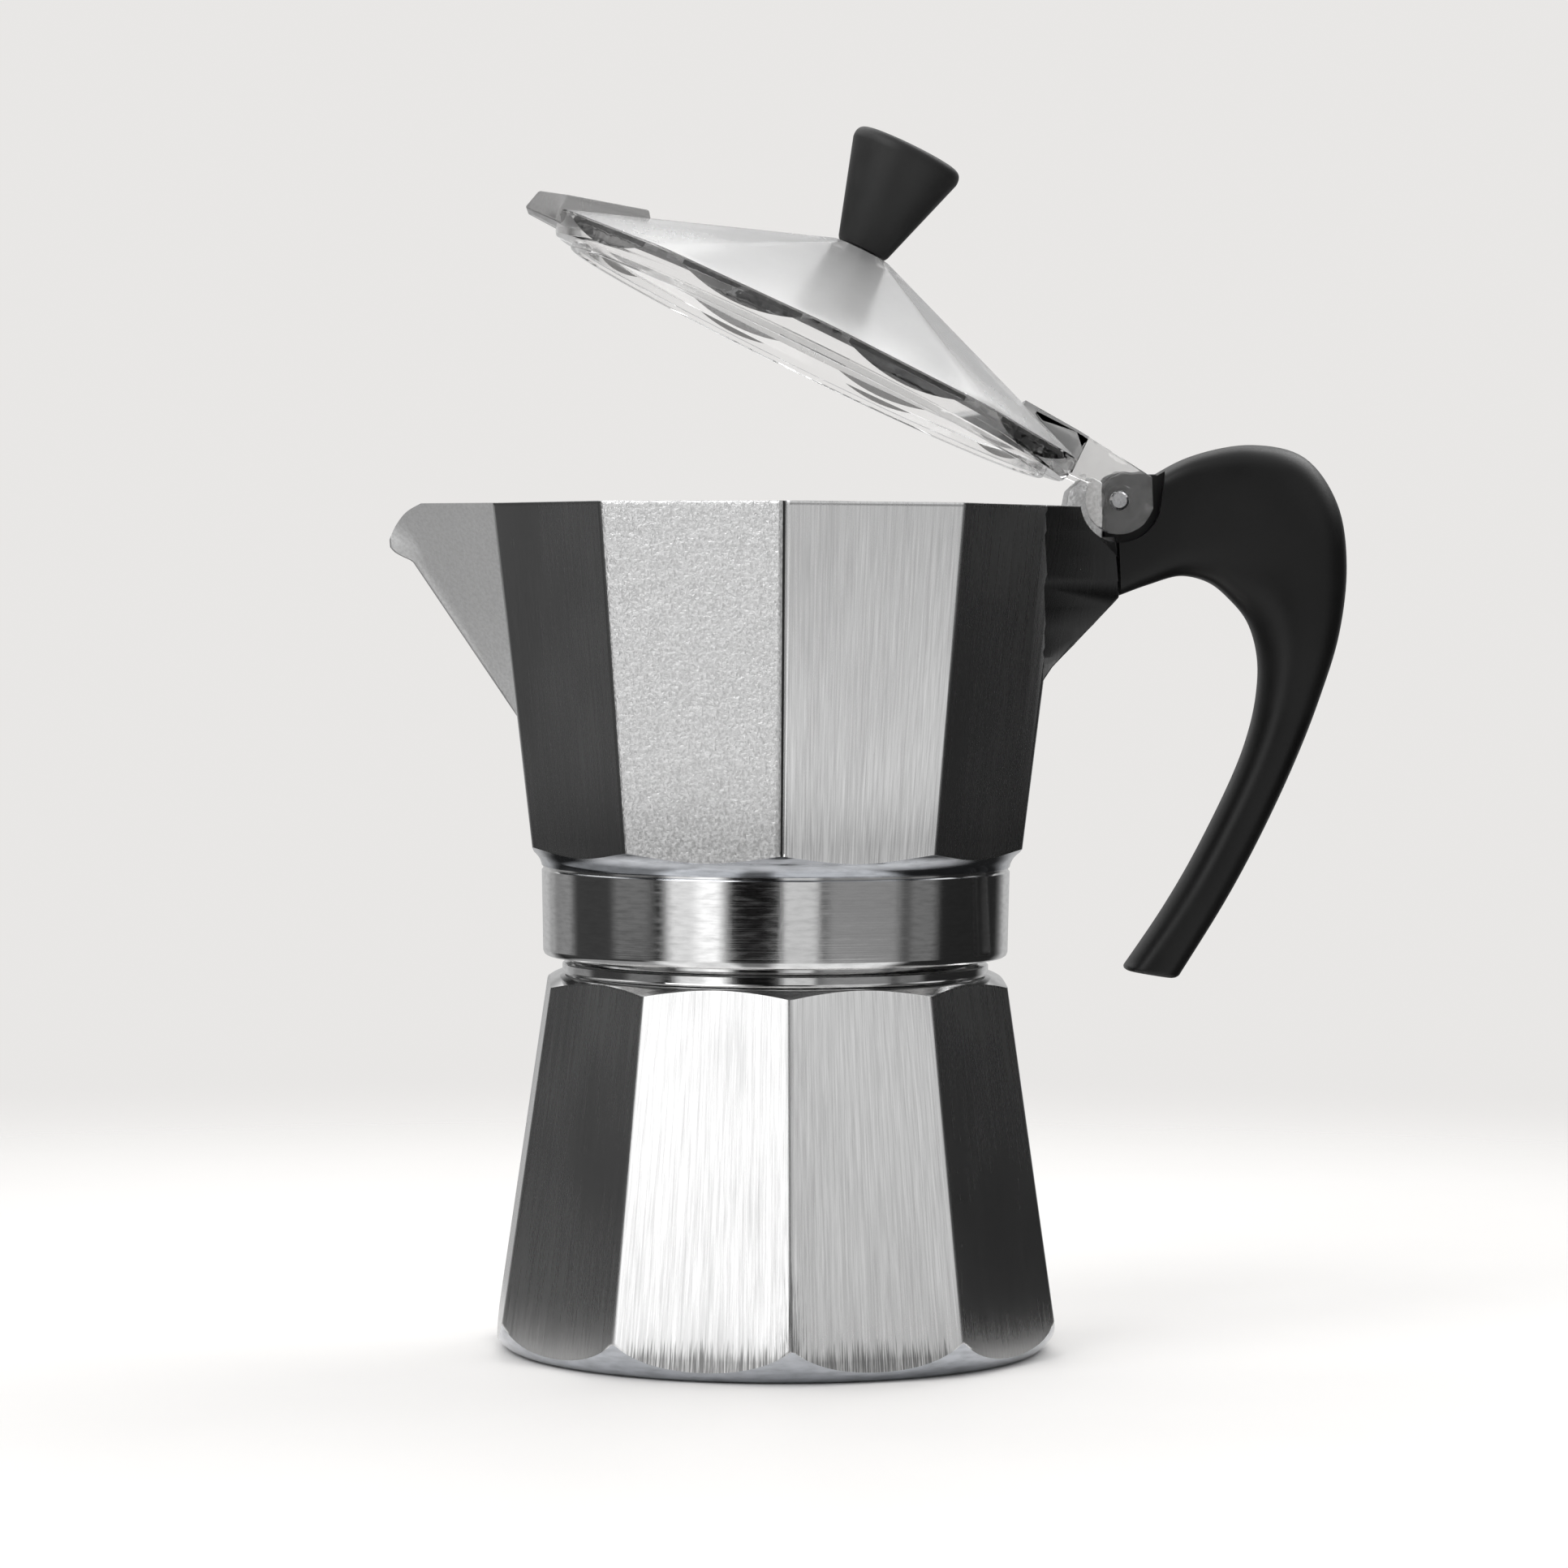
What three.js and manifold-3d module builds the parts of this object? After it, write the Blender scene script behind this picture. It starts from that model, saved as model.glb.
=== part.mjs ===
// A stove-top moka pot with ten flat sides: boiler, safety valve, funnel, seal, upper chamber with its
// spout and handle bracket, hook handle, and a clear lid with its knob, opened part of the way.
//
// Millimetres, +Z up. The origin is the centre of the flat base. The spout points along -X, the handle
// along +X, and one edge between two sides faces -Y. Angles round the pot run from -Y towards +X.

import * as THREE from "three";
import { mergeVertices } from "three/addons/utils/BufferGeometryUtils.js";
import Module from "manifold-3d";

const wasm = await Module();
wasm.setup();

const SIDES = 10;
const SIDE_STEP = (2 * Math.PI) / SIDES;
const FLAT = Math.cos(SIDE_STEP / 2); // distance to a flat side over distance to a corner
const ROUND = 50; // steps round a turned surface that is seen
const INNER_ROUND = 30; // steps round a turned surface inside
const SMALL_ROUND = 16; // steps round a pin or a screw
const GAP = 0.2; // between pieces that rest on each other

// Boiler
const BASE_CORNER = 47.3; // corner radius of the ten-sided cone at the base
const SHOULDER_CORNER = 38.2; // the same at the shoulder
const SHOULDER_Z = 60.8;
const BOILER_TURN = THREE.MathUtils.degToRad(2.3); // the threads stop with the boiler turned this far
const BOILER_FLOOR = 2.6;
const NECK_BORE = 29.5;
const NECK_TOP = 73.6;

// Thread between boiler and upper chamber
const PITCH = 3;
const NECK_ROOT = 32.8;
const NECK_CREST = 34.0;
const COLLAR_ROOT = 34.6;
const COLLAR_CREST = 33.35;
const THREAD_BOTTOM = 65.2; // middle of the neck's ridge where it starts

// Upper chamber
const COLLAR_BOTTOM = 63.5;
const COLLAR_TOP = 78.0;
const COLLAR_RADIUS = 37.8;
const FLARE = 0.1235; // growth of the corner radius for each millimetre of height
const RIM_Z = 136;
const RIM_CORNER = 47.85;
const MOUTH_RADIUS = 43; // of the round inside, at the rim
const FLOOR_Z = 82.5;
const COLUMN_TOP = 122;
const SPOUT_BOTTOM = 101;
const SPOUT_HALF_WIDTH = 14.2;
const SPOUT_START = 41.3; // reach of the spout at its bottom
const SPOUT_SLOPE = 0.679; // growth of the reach for each millimetre of height
const BEAK_X = 62.5; // reach of the spout's tip

// Stack of loose parts between boiler and chamber
const FLANGE_BOTTOM = NECK_TOP + GAP;
const FLANGE_TOP = FLANGE_BOTTOM + 1;
const GASKET_TOP = 78.3;
const BASKET_RADIUS = 28.4;
const BASKET_FLOOR = 57;
const STEM_RADIUS = 4;
const SHEET = 0.7; // thickness of the pressed aluminium

// Hinge
const PIN_X = 54.5;
const PIN_Z = 137;
const PIN_RADIUS = 1.5;
const PIN_HOLE = 1.6;
const POCKET_RADIUS = 6.75; // round recess in bracket and handle that each lid ear turns in
const EAR_RADIUS = 5.45;
const EAR_INNER = 6.3; // half the space between the two ears
const EAR_OUTER = 9;
const CHEEK = 6; // half width of bracket and handle between the ears
const TONGUE = 2.4; // half thickness of the bracket's tongue
const SLOT = 2.75; // half width of the handle's slot for the tongue
const TONGUE_END = 66;
const LID_OPEN = THREE.MathUtils.degToRad(25.6);

// Lid, described closed
const LID_SEAT = 136.2;
const LID_CREASE = 139.6; // where the wall meets the sloping panels
const LID_CORNER = 47.9;
const LID_TOP = 155.3;
const LID_SHELL = 2.1;
const LIP_RADIUS = 42.3;
const LIP_THICKNESS = 1.4;
const LIP_BOTTOM = 135.2;
const BOSS_RADIUS = 6.2;
const BOSS_BOTTOM = 149.2; // of the boss's solid part; a skirt hangs below it
const SKIRT_BOTTOM = 143.5;
const PLATE_END = 45.7; // of the plate between the ears, beyond the lid's wall

// Knob
const KNOB_BOTTOM = 155.6;
const KNOB_HEIGHT = 18;
const KNOB_TOP_RADIUS = 9.35;
const KNOB_NECK_RADIUS = 4.4;
const SPIGOT_RADIUS = 2.8;
const SPIGOT_BOTTOM = 151;
const INSERT_BOTTOM = KNOB_BOTTOM + 0.8; // of the brass insert in the knob
const INSERT_TOP = KNOB_BOTTOM + 5.6;
const SCREW_BORE = 1.75;

const metal = (color, roughness) => new THREE.MeshStandardMaterial({ color, roughness, metalness: 1 });
const plastic = (color, roughness) => new THREE.MeshStandardMaterial({ color, roughness, metalness: 0 });

const castAluminium = metal(0xc4c4c6, 0.35);
const pressedAluminium = metal(0xcfcfd2, 0.4);
const steel = metal(0xb8b8bc, 0.25);
const brass = metal(0xc2a25a, 0.3);
const blackNylon = plastic(0x1b1b1d, 0.45);
const silicone = plastic(0xe8e6e0, 0.6);
const fibre = plastic(0x8c2f22, 0.8);
const clearPlastic = plastic(0xd4d6d8, 0.1);
clearPlastic.transparent = true;
clearPlastic.opacity = 0.45;

// ---- Solids ----

// A closed geometry as a solid with its faces turned outwards.
function solid(geometry) {
  const bare = geometry.clone();
  bare.deleteAttribute("normal");
  bare.deleteAttribute("uv");
  const merged = mergeVertices(bare, 1e-4);
  const points = merged.attributes.position;
  const index = merged.index.array;
  const corners = [];
  let volume = 0;
  const [a, b, c] = [new THREE.Vector3(), new THREE.Vector3(), new THREE.Vector3()];
  for (let i = 0; i < index.length; i += 3) {
    const [p, q, r] = [index[i], index[i + 1], index[i + 2]];
    if (p === q || q === r || r === p) continue;
    corners.push(p, q, r);
    a.fromBufferAttribute(points, p);
    b.fromBufferAttribute(points, q);
    c.fromBufferAttribute(points, r);
    volume += a.dot(b.cross(c));
  }
  if (volume < 0) corners.reverse();
  const mesh = {
    numProp: 3,
    vertProperties: Float32Array.from(points.array),
    triVerts: Uint32Array.from(corners),
  };
  return new wasm.Manifold(new wasm.Mesh(mesh));
}

function join(first, ...others) {
  return others.reduce((sum, next) => sum.add(next), first);
}

function cut(first, ...others) {
  return others.reduce((rest, next) => rest.subtract(next), first);
}

// A profile of [radius, height] pairs turned about the Z axis in a number of flat steps, with a corner at -Y.
function latheGeometry(profile, steps) {
  const points = profile.map(([r, z]) => new THREE.Vector2(r, z));
  return new THREE.LatheGeometry(points, steps).rotateX(Math.PI / 2);
}

function turned(profile, steps = ROUND) {
  return solid(latheGeometry(profile, steps));
}

function tenSided(profile) {
  return turned(profile, SIDES);
}

function ring(inner, outer, bottom, top, steps = INNER_ROUND) {
  return turned([[inner, bottom], [outer, bottom], [outer, top], [inner, top], [inner, bottom]], steps);
}

function disc(radius, bottom, top, steps = INNER_ROUND) {
  return turned([[0, bottom], [radius, bottom], [radius, top], [0, top]], steps);
}

// Half an outline, closed by its mirror image with the second number of each pair negated.
function mirrored(half) {
  return [...half, ...[...half].reverse().map(([a, b]) => [a, -b])];
}

function shapeOf(outline) {
  return new THREE.Shape(outline.map(([a, b]) => new THREE.Vector2(a, b)));
}

function extruded(shape, depth) {
  return new THREE.ExtrudeGeometry(shape, { depth, bevelEnabled: false, curveSegments: 8 });
}

// A Shape drawn in x and z, as thick as from y = low to y = high.
function sideShape(shape, low, high) {
  return solid(extruded(shape, high - low).rotateX(Math.PI / 2).translate(0, high, 0));
}

// The same for an outline of [x, z] pairs.
function sideSlab(outline, low, high) {
  return sideShape(shapeOf(outline), low, high);
}

// Half a plan, as [x, y] pairs with y > 0, mirrored and as tall as from z = low to z = high.
function planSlab(half, low, high) {
  return solid(extruded(shapeOf(mirrored(half)), high - low).translate(0, 0, low));
}

// A round bar along Y through a point of the x-z plane.
function crossBar(x, z, radius, low, high, steps = SMALL_ROUND) {
  const geometry = new THREE.CylinderGeometry(radius, radius, high - low, steps);
  return solid(geometry.translate(x, (low + high) / 2, z));
}

// The round recess that an ear of the lid turns in.
function earPocket(low, high) {
  return crossBar(PIN_X, PIN_Z, POCKET_RADIUS, low, high, 40);
}

// A solid through closed sections that all have the same number of points, capped at both ends.
function loft(sections) {
  const count = sections[0].length;
  const points = sections.flat();
  const index = [];
  for (let s = 0; s + 1 < sections.length; s++) {
    for (let i = 0; i < count; i++) {
      const next = (i + 1) % count;
      const [a, b] = [s * count + i, s * count + next];
      index.push(a, b, b + count, a, b + count, a + count);
    }
  }
  const last = (sections.length - 1) * count;
  for (let i = 1; i + 1 < count; i++) {
    index.push(0, i + 1, i, last, last + i, last + i + 1);
  }
  const geometry = new THREE.BufferGeometry().setFromPoints(points);
  geometry.setIndex(index);
  return solid(geometry);
}

// A right-hand screw ridge that leaves the radius root and ends at the radius crest.
function screwRidge(root, crest, bottom, turns, startAngle) {
  const STEPS = 24; // for each turn
  const ROOT_HALF = 0.75;
  const CREST_HALF = 0.35;
  const sections = [];
  for (let i = 0; i <= Math.round(turns * STEPS); i++) {
    const angle = startAngle + (2 * Math.PI * i) / STEPS;
    const z = bottom + (PITCH * i) / STEPS;
    const at = (r, height) => new THREE.Vector3(r * Math.cos(angle), r * Math.sin(angle), z + height);
    sections.push([at(root, -ROOT_HALF), at(crest, -CREST_HALF), at(crest, CREST_HALF), at(root, ROOT_HALF)]);
  }
  return loft(sections);
}

// The points of a quadratic curve, as [radius, height] pairs.
function curve(from, control, to, pieces) {
  const path = new THREE.QuadraticBezierCurve(
    new THREE.Vector2(...from),
    new THREE.Vector2(...control),
    new THREE.Vector2(...to),
  );
  return path.getPoints(pieces).map((p) => [p.x, p.y]);
}

function piece(name, shape, material) {
  const { vertProperties, triVerts } = shape.getMesh();
  const geometry = new THREE.BufferGeometry();
  geometry.setAttribute("position", new THREE.BufferAttribute(Float32Array.from(vertProperties), 3));
  geometry.setIndex(new THREE.BufferAttribute(Uint32Array.from(triVerts), 1));
  geometry.computeVertexNormals();
  const mesh = new THREE.Mesh(geometry, material);
  mesh.name = name;
  return mesh;
}

function group(...children) {
  const result = new THREE.Group();
  result.add(...children);
  return result;
}

// ---- Boiler ----

// Corner radius of the boiler's ten-sided cone at a height.
const boilerCorner = (z) => THREE.MathUtils.mapLinear(z, 0, SHOULDER_Z, BASE_CORNER, SHOULDER_CORNER);

const VALVE_ANGLE = SIDE_STEP * 4.5; // the middle of a back side
const VALVE_Z = 36;
const VALVE_TILT = Math.atan((BASE_CORNER - SHOULDER_CORNER) * FLAT / SHOULDER_Z); // as the side leans back
const VALVE_STEM = 3.8;

// Where the valve, made about its own Z axis, sits on the boiler's back side, pointing straight out.
function valvePlace() {
  const place = new THREE.Object3D();
  const out = boilerCorner(VALVE_Z) * FLAT;
  place.position.set(out * Math.sin(VALVE_ANGLE), -out * Math.cos(VALVE_ANGLE), VALVE_Z);
  place.rotation.set(0, Math.PI / 2 - VALVE_TILT, VALVE_ANGLE - Math.PI / 2, "ZYX");
  place.updateMatrix();
  return place;
}

function boiler() {
  const faceted = tenSided([
    [0, 0], [BASE_CORNER, 0], [SHOULDER_CORNER, SHOULDER_Z], [SHOULDER_CORNER, 80], [0, 80],
  ]);
  const skin = turned([
    [0, 0], [41.6, 0], ...curve([43, 0.2], [45.6, 1.6], [46.5, 5.8], 4), [50, 14], [50, 52.8],
    [38.5, 58.9], ...curve([36.8, 59.9], [35.6, 60.8], [34.4, 61], 2), [34.4, 62.3], [NECK_ROOT, 62.8],
    [NECK_ROOT, NECK_TOP - 0.5], [NECK_ROOT - 0.5, NECK_TOP], [0, NECK_TOP],
  ]);
  const hollow = turned([
    [0, BOILER_FLOOR], [39.4, BOILER_FLOOR], [41.4, BOILER_FLOOR + 2], [34.2, 54], [NECK_BORE, 59],
    [NECK_BORE, 76], [0, 76],
  ], INNER_ROUND);
  const thread = screwRidge(NECK_ROOT - 0.3, NECK_CREST, THREAD_BOTTOM, 2.2, 0);
  const hole = VALVE_STEM + GAP;
  const valveHole = latheGeometry([[0, -8], [hole, -8], [hole, 4], [0, 4]], SMALL_ROUND);
  return cut(
    join(skin.intersect(faceted), thread),
    hollow,
    solid(valveHole.applyMatrix4(valvePlace().matrix)),
  );
}

// ---- Safety valve, made about its own Z axis, which points out; Z = 0 is the boiler's outer side ----

const WASHER_TOP = 0.95;
const NOSE_TOP = 8.6;
const VALVE_BORE = 2.4;
const SEAT_BORE = 1.3;
const SEAT_Z = -5.6;
const PLUNGER_TOP = SEAT_Z + 1.6;
const CAP_BOTTOM = NOSE_TOP - 1.4;

function valveWasher() {
  return ring(VALVE_STEM + GAP, 6.2, GAP, WASHER_TOP, SMALL_ROUND);
}

function valveBody() {
  const hexagon = turned([[0, WASHER_TOP + GAP], [6.3, WASHER_TOP + GAP], [6.3, 4.2], [0, 4.2]], 6);
  const nose = turned([[0, 4], [4.2, 4], [4.2, NOSE_TOP - 0.5], [3.7, NOSE_TOP], [0, NOSE_TOP]], SMALL_ROUND);
  const stem = disc(VALVE_STEM, -7, WASHER_TOP + 1, SMALL_ROUND);
  const bore = turned([
    [0, -8], [SEAT_BORE, -8], [SEAT_BORE, SEAT_Z], [VALVE_BORE, SEAT_Z + 0.6], [VALVE_BORE, 10], [0, 10],
  ], SMALL_ROUND);
  return cut(join(hexagon, nose, stem), bore);
}

function valvePlunger() {
  return turned([
    [0, SEAT_Z + 0.3], [SEAT_BORE, SEAT_Z + 0.3], [2.1, SEAT_Z + 0.9], [2.1, PLUNGER_TOP], [0.9, PLUNGER_TOP],
    [0.9, NOSE_TOP + 0.6], [0.6, NOSE_TOP + 0.9], [0, NOSE_TOP + 0.9],
  ], SMALL_ROUND);
}

function valveSpring() {
  const WIRE = 0.22;
  const TURNS = 6;
  const STEPS = 12; // for each turn
  const [bottom, top] = [PLUNGER_TOP + GAP + WIRE, CAP_BOTTOM - GAP - WIRE];
  const sections = [];
  for (let i = 0; i <= TURNS * STEPS; i++) {
    const angle = (2 * Math.PI * i) / STEPS;
    const z = THREE.MathUtils.lerp(bottom, top, i / (TURNS * STEPS));
    const section = [0, 1, 2, 3, 4].map((k) => {
      const turn = (2 * Math.PI * k) / 5;
      const r = 1.65 + WIRE * Math.cos(turn);
      return new THREE.Vector3(r * Math.cos(angle), r * Math.sin(angle), z + WIRE * Math.sin(turn));
    });
    sections.push(section);
  }
  return loft(sections);
}

function valveCap() {
  return ring(1.15, VALVE_BORE - 0.1, CAP_BOTTOM, CAP_BOTTOM + 0.9, SMALL_ROUND);
}

// ---- Funnel, seal and filter ----

function funnel() {
  const cone = BASKET_FLOOR - 6;
  return turned([
    [STEM_RADIUS + GAP, cone - 4], [STEM_RADIUS + GAP + SHEET, cone - 4], [STEM_RADIUS + GAP + SHEET, cone],
    [BASKET_RADIUS, BASKET_FLOOR], [BASKET_RADIUS, FLANGE_BOTTOM], [32.6, FLANGE_BOTTOM], [32.6, FLANGE_TOP],
    [BASKET_RADIUS - SHEET, FLANGE_TOP], [BASKET_RADIUS - SHEET, BASKET_FLOOR + 0.4],
    [BASKET_RADIUS - 2.5, BASKET_FLOOR + 0.4], [STEM_RADIUS + GAP, cone + 0.4], [STEM_RADIUS + GAP, cone - 4],
  ], INNER_ROUND);
}

function funnelStem() {
  return ring(STEM_RADIUS - SHEET, STEM_RADIUS, BOILER_FLOOR + 4, BASKET_FLOOR - 6, SMALL_ROUND);
}

// A round plate with rings of small holes, six more in each ring than in the one inside it.
function sieve(radius, bottom, top, rings, spacing) {
  const HOLE = 0.7;
  let plate = disc(radius, bottom, top);
  for (let r = 1; r <= rings; r++) {
    for (let i = 0; i < 6 * r; i++) {
      const angle = (2 * Math.PI * i) / (6 * r);
      const [x, y] = [r * spacing * Math.cos(angle), r * spacing * Math.sin(angle)];
      plate = plate.subtract(disc(HOLE, bottom - 1, top + 1, 6).translate([x, y, 0]));
    }
  }
  return plate;
}

function gasket() {
  return ring(24.8, 32.9, FLANGE_TOP + GAP, GASKET_TOP);
}

// ---- Upper chamber ----

const chamberCorner = (z) => RIM_CORNER - FLARE * (RIM_Z - z);

function chamberSkin() {
  const faceted = tenSided([
    [0, 60], [42, 60], [42, 79.5], [chamberCorner(79.6), 79.6], [RIM_CORNER, RIM_Z], [0, RIM_Z],
  ]);
  const skin = turned([
    [0, COLLAR_BOTTOM], [COLLAR_RADIUS - 1, COLLAR_BOTTOM], [COLLAR_RADIUS - 0.4, COLLAR_BOTTOM + 0.6],
    ...curve([COLLAR_RADIUS, COLLAR_TOP], [COLLAR_RADIUS + 0.4, 80.6], [43, 82], 4),
    [52, 84.6], [52, 140], [0, 140],
  ]);
  return skin.intersect(faceted);
}

// Sections of the spout from bottom to top, grown inwards by wall. Each is a V with a thin beak at its point.
function spoutSections(wall) {
  const levels = [SPOUT_BOTTOM, 113, 126.8, 127.8, 128.7, 130.2, RIM_Z];
  const beak = new Map([[127.8, 60.8], [128.7, BEAK_X - 0.1], [130.2, BEAK_X], [RIM_Z, BEAK_X]]);
  return levels.map((z) => {
    const side = chamberCorner(z) * FLAT - 0.4;
    const share = (z - SPOUT_BOTTOM) / (RIM_Z - SPOUT_BOTTOM);
    const half = Math.max(0.7, SPOUT_HALF_WIDTH * share - 1.15 * wall);
    const keel = SPOUT_START + SPOUT_SLOPE * (z - SPOUT_BOTTOM) - 1.6 * wall;
    const nose = Math.max(keel, (beak.get(z) ?? 0) - 1.6 * wall);
    const shoulder = THREE.MathUtils.lerp(side, keel, 0.88);
    const inner = wall > 0 ? 34 : 38;
    const height = wall > 0 && z === RIM_Z ? RIM_Z + 2 : z;
    const right = [[inner, half], [side, half], [shoulder, Math.max(0.65, 0.13 * half)], [nose, 0.6]];
    return mirrored(right).map(([x, y]) => new THREE.Vector3(-x, y, height));
  });
}

function spout() {
  const above = sideSlab([
    [-57.2, RIM_Z], [-59.7, 134.6], [-61.5, 132.4], [-BEAK_X, 130.2],
    [-BEAK_X - 4, 129.8], [-BEAK_X - 4, 140], [-57.2, 140],
  ], -20, 20);
  return cut(loft(spoutSections(0)), above);
}

// The drilled column that the coffee rises through, closed at the top, with a hole to each side.
function columnSkin() {
  return turned([
    [0, FLOOR_Z - 1], [10.5, FLOOR_Z - 1],
    ...curve([9.5, FLOOR_Z + 0.5], [7.6, FLOOR_Z + 3], [7, FLOOR_Z + 9], 3),
    [5.4, COLUMN_TOP - 2], [4.4, COLUMN_TOP - 0.4], [0, COLUMN_TOP],
  ], SMALL_ROUND);
}

function columnBore() {
  const rise = turned([[0, 78], [4.4, 78], [3.1, COLUMN_TOP - 4], [0, COLUMN_TOP - 2.4]], SMALL_ROUND);
  return join(rise, crossBar(0, COLUMN_TOP - 6.5, 2, -8, 8, 16));
}

// The bracket's wedge before it is trimmed: it leaves the chamber's flat sides along a line at x = START and
// narrows to the handle. The two flat sides lean, so its width there shrinks towards the bottom.
function wedgeBlock() {
  const START = 42;
  const END = 54.8;
  const END_HALF = 9;
  const INNER = 37;
  const sections = [102, RIM_Z].map((z) => {
    const flat = chamberCorner(z) * FLAT;
    const half = (flat - START * Math.sin(1.5 * SIDE_STEP)) / Math.cos(1.5 * SIDE_STEP) - 0.1;
    const innerHalf = THREE.MathUtils.mapLinear(INNER, START, END, half, END_HALF);
    return mirrored([[INNER, innerHalf], [END, END_HALF]]).map(([x, y]) => new THREE.Vector3(x, y, z));
  });
  return loft(sections);
}

// The bracket for lid and handle: the wedge, with a web and a thin tongue that carry the pin.
function bracket() {
  const side = sideSlab([
    [36, RIM_Z], [53.6, RIM_Z], [54.5, 121.5], [43.6, 110.4], [41.6, 107.4], [36, 105],
  ], -25, 25);
  const pockets = [[CHEEK, 20], [-20, -CHEEK]].map(([low, high]) => earPocket(low, high));
  const front = sideSlab([[51.9, 128], [60, 128], [60, 150], [51.9, 150]], -20, 20);
  const web = sideSlab([
    [44, 128], [51.9, 128], [51.9, 139.8], [50.4, 140.7], [48.6, 140.4], [46.7, 138.6], [46.2, 136],
    [44, 135.5],
  ], -CHEEK + 0.1, CHEEK - 0.1);
  const tongue = sideSlab([
    [47, 124.4], [TONGUE_END, 126.6], [TONGUE_END, 133.4], [58, 135], [50, 139], [47, 136],
  ], -TONGUE, TONGUE);
  const eye = crossBar(PIN_X, PIN_Z, 4.2, -TONGUE, TONGUE);
  const handleRoom = front.intersect(earPocket(-20, 20));
  const wedge = cut(wedgeBlock().intersect(side), ...pockets, handleRoom);
  return cut(join(wedge, web, tongue, eye), crossBar(PIN_X, PIN_Z, PIN_HOLE, -10, 10));
}

function upperChamber() {
  const inside = turned([
    [0, FLOOR_Z], [34.4, FLOOR_Z], [36.4, FLOOR_Z + 2], [MOUTH_RADIUS, RIM_Z], [MOUTH_RADIUS, 150], [0, 150],
  ]);
  const socket = turned([
    [0, 60], [COLLAR_ROOT + 0.7, 60], [COLLAR_ROOT + 0.7, COLLAR_BOTTOM], [COLLAR_ROOT, COLLAR_BOTTOM + 0.7],
    [COLLAR_ROOT, 75], [33.2, 75.4], [33.2, GASKET_TOP + GAP], [29.3, GASKET_TOP + GAP],
    [29.3, GASKET_TOP + 1.2], [26.5, GASKET_TOP + 1.2], [4.2, GASKET_TOP + 2.4], [0, GASKET_TOP + 2.4],
  ]);
  const thread = screwRidge(COLLAR_ROOT + 0.3, COLLAR_CREST, THREAD_BOTTOM - PITCH / 2, 3, 0);
  const threadRoom = ring(20, COLLAR_ROOT + 2, COLLAR_BOTTOM + 0.8, 74.6);
  const shell = cut(join(chamberSkin(), spout()), inside, socket);
  return cut(
    join(shell, columnSkin(), thread.intersect(threadRoom), bracket().subtract(inside)),
    columnBore(),
    loft(spoutSections(2.2).slice(1)),
  );
}

// ---- Handle and pin ----

// Points on the hook's inner and outer edge, facing each other, its half width and how square it is there.
const HOOK = [
  { inner: [54.9, 121.8], outer: [54.2, 136.6], half: 9, square: 7 },
  { inner: [59.5, 123.5], outer: [60.6, 141.1], half: 9, square: 6 },
  { inner: [65, 125], outer: [67.5, 144.6], half: 9, square: 4.5 },
  { inner: [69.8, 124], outer: [76.5, 146.2], half: 9, square: 3.4 },
  { inner: [73.4, 121.1], outer: [85, 144.2], half: 8.8, square: 2.8 },
  { inner: [76.2, 117.5], outer: [90.4, 136.8], half: 8.5, square: 2.6 },
  { inner: [77.7, 112.5], outer: [92, 127], half: 8.1, square: 2.5 },
  { inner: [77.8, 107], outer: [90.9, 116], half: 7.7, square: 2.5 },
  { inner: [76.6, 100.3], outer: [87.8, 105.5], half: 7.3, square: 2.5 },
  { inner: [73.8, 92.4], outer: [83.8, 95], half: 7, square: 2.5 },
  { inner: [68.1, 80.6], outer: [78.4, 83.2], half: 6.8, square: 2.5 },
  { inner: [62.6, 71], outer: [72.6, 72.3], half: 6.8, square: 2.6 },
  { inner: [56.2, 61.4], outer: [65, 60], half: 6.6, square: 3 },
];
const HOOK_STEPS = 36;
const HOOK_ROUND = 16;

function edgeCurve(edge) {
  return new THREE.CatmullRomCurve3(HOOK.map(({ [edge]: [x, z] }) => new THREE.Vector3(x, 0, z)));
}

function hookSections() {
  const [inner, outer] = [edgeCurve("inner"), edgeCurve("outer")];
  const sections = [];
  for (let i = 0; i <= HOOK_STEPS; i++) {
    const t = i / HOOK_STEPS;
    const place = t * (HOOK.length - 1);
    const before = HOOK[Math.min(Math.floor(place), HOOK.length - 2)];
    const after = HOOK[Math.min(Math.floor(place), HOOK.length - 2) + 1];
    const share = place - HOOK.indexOf(before);
    const half = THREE.MathUtils.lerp(before.half, after.half, share);
    const power = 2 / THREE.MathUtils.lerp(before.square, after.square, share);
    const [from, to] = [inner.getPoint(t), outer.getPoint(t)];
    const middle = from.clone().lerp(to, 0.5);
    const reach = to.clone().sub(middle);
    const round = (value) => Math.sign(value) * Math.abs(value) ** power;
    const section = [];
    for (let k = 0; k < HOOK_ROUND; k++) {
      const angle = (2 * Math.PI * k) / HOOK_ROUND;
      const point = middle.clone().addScaledVector(reach, round(Math.cos(angle)));
      section.push(point.setY(half * round(Math.sin(angle))));
    }
    sections.push(section);
  }
  return sections;
}

// The room that one ear of the lid sweeps: the pocket, opened upwards.
function earRoom(low, high) {
  const mouth = sideSlab([
    [PIN_X - 12, PIN_Z - 1.5], [PIN_X + POCKET_RADIUS - 0.1, PIN_Z - 0.5], [PIN_X + 7.5, PIN_Z + 5],
    [PIN_X + 8.4, PIN_Z + 12], [PIN_X - 12, PIN_Z + 12],
  ], low, high);
  return join(mouth, earPocket(low, high));
}

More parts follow.
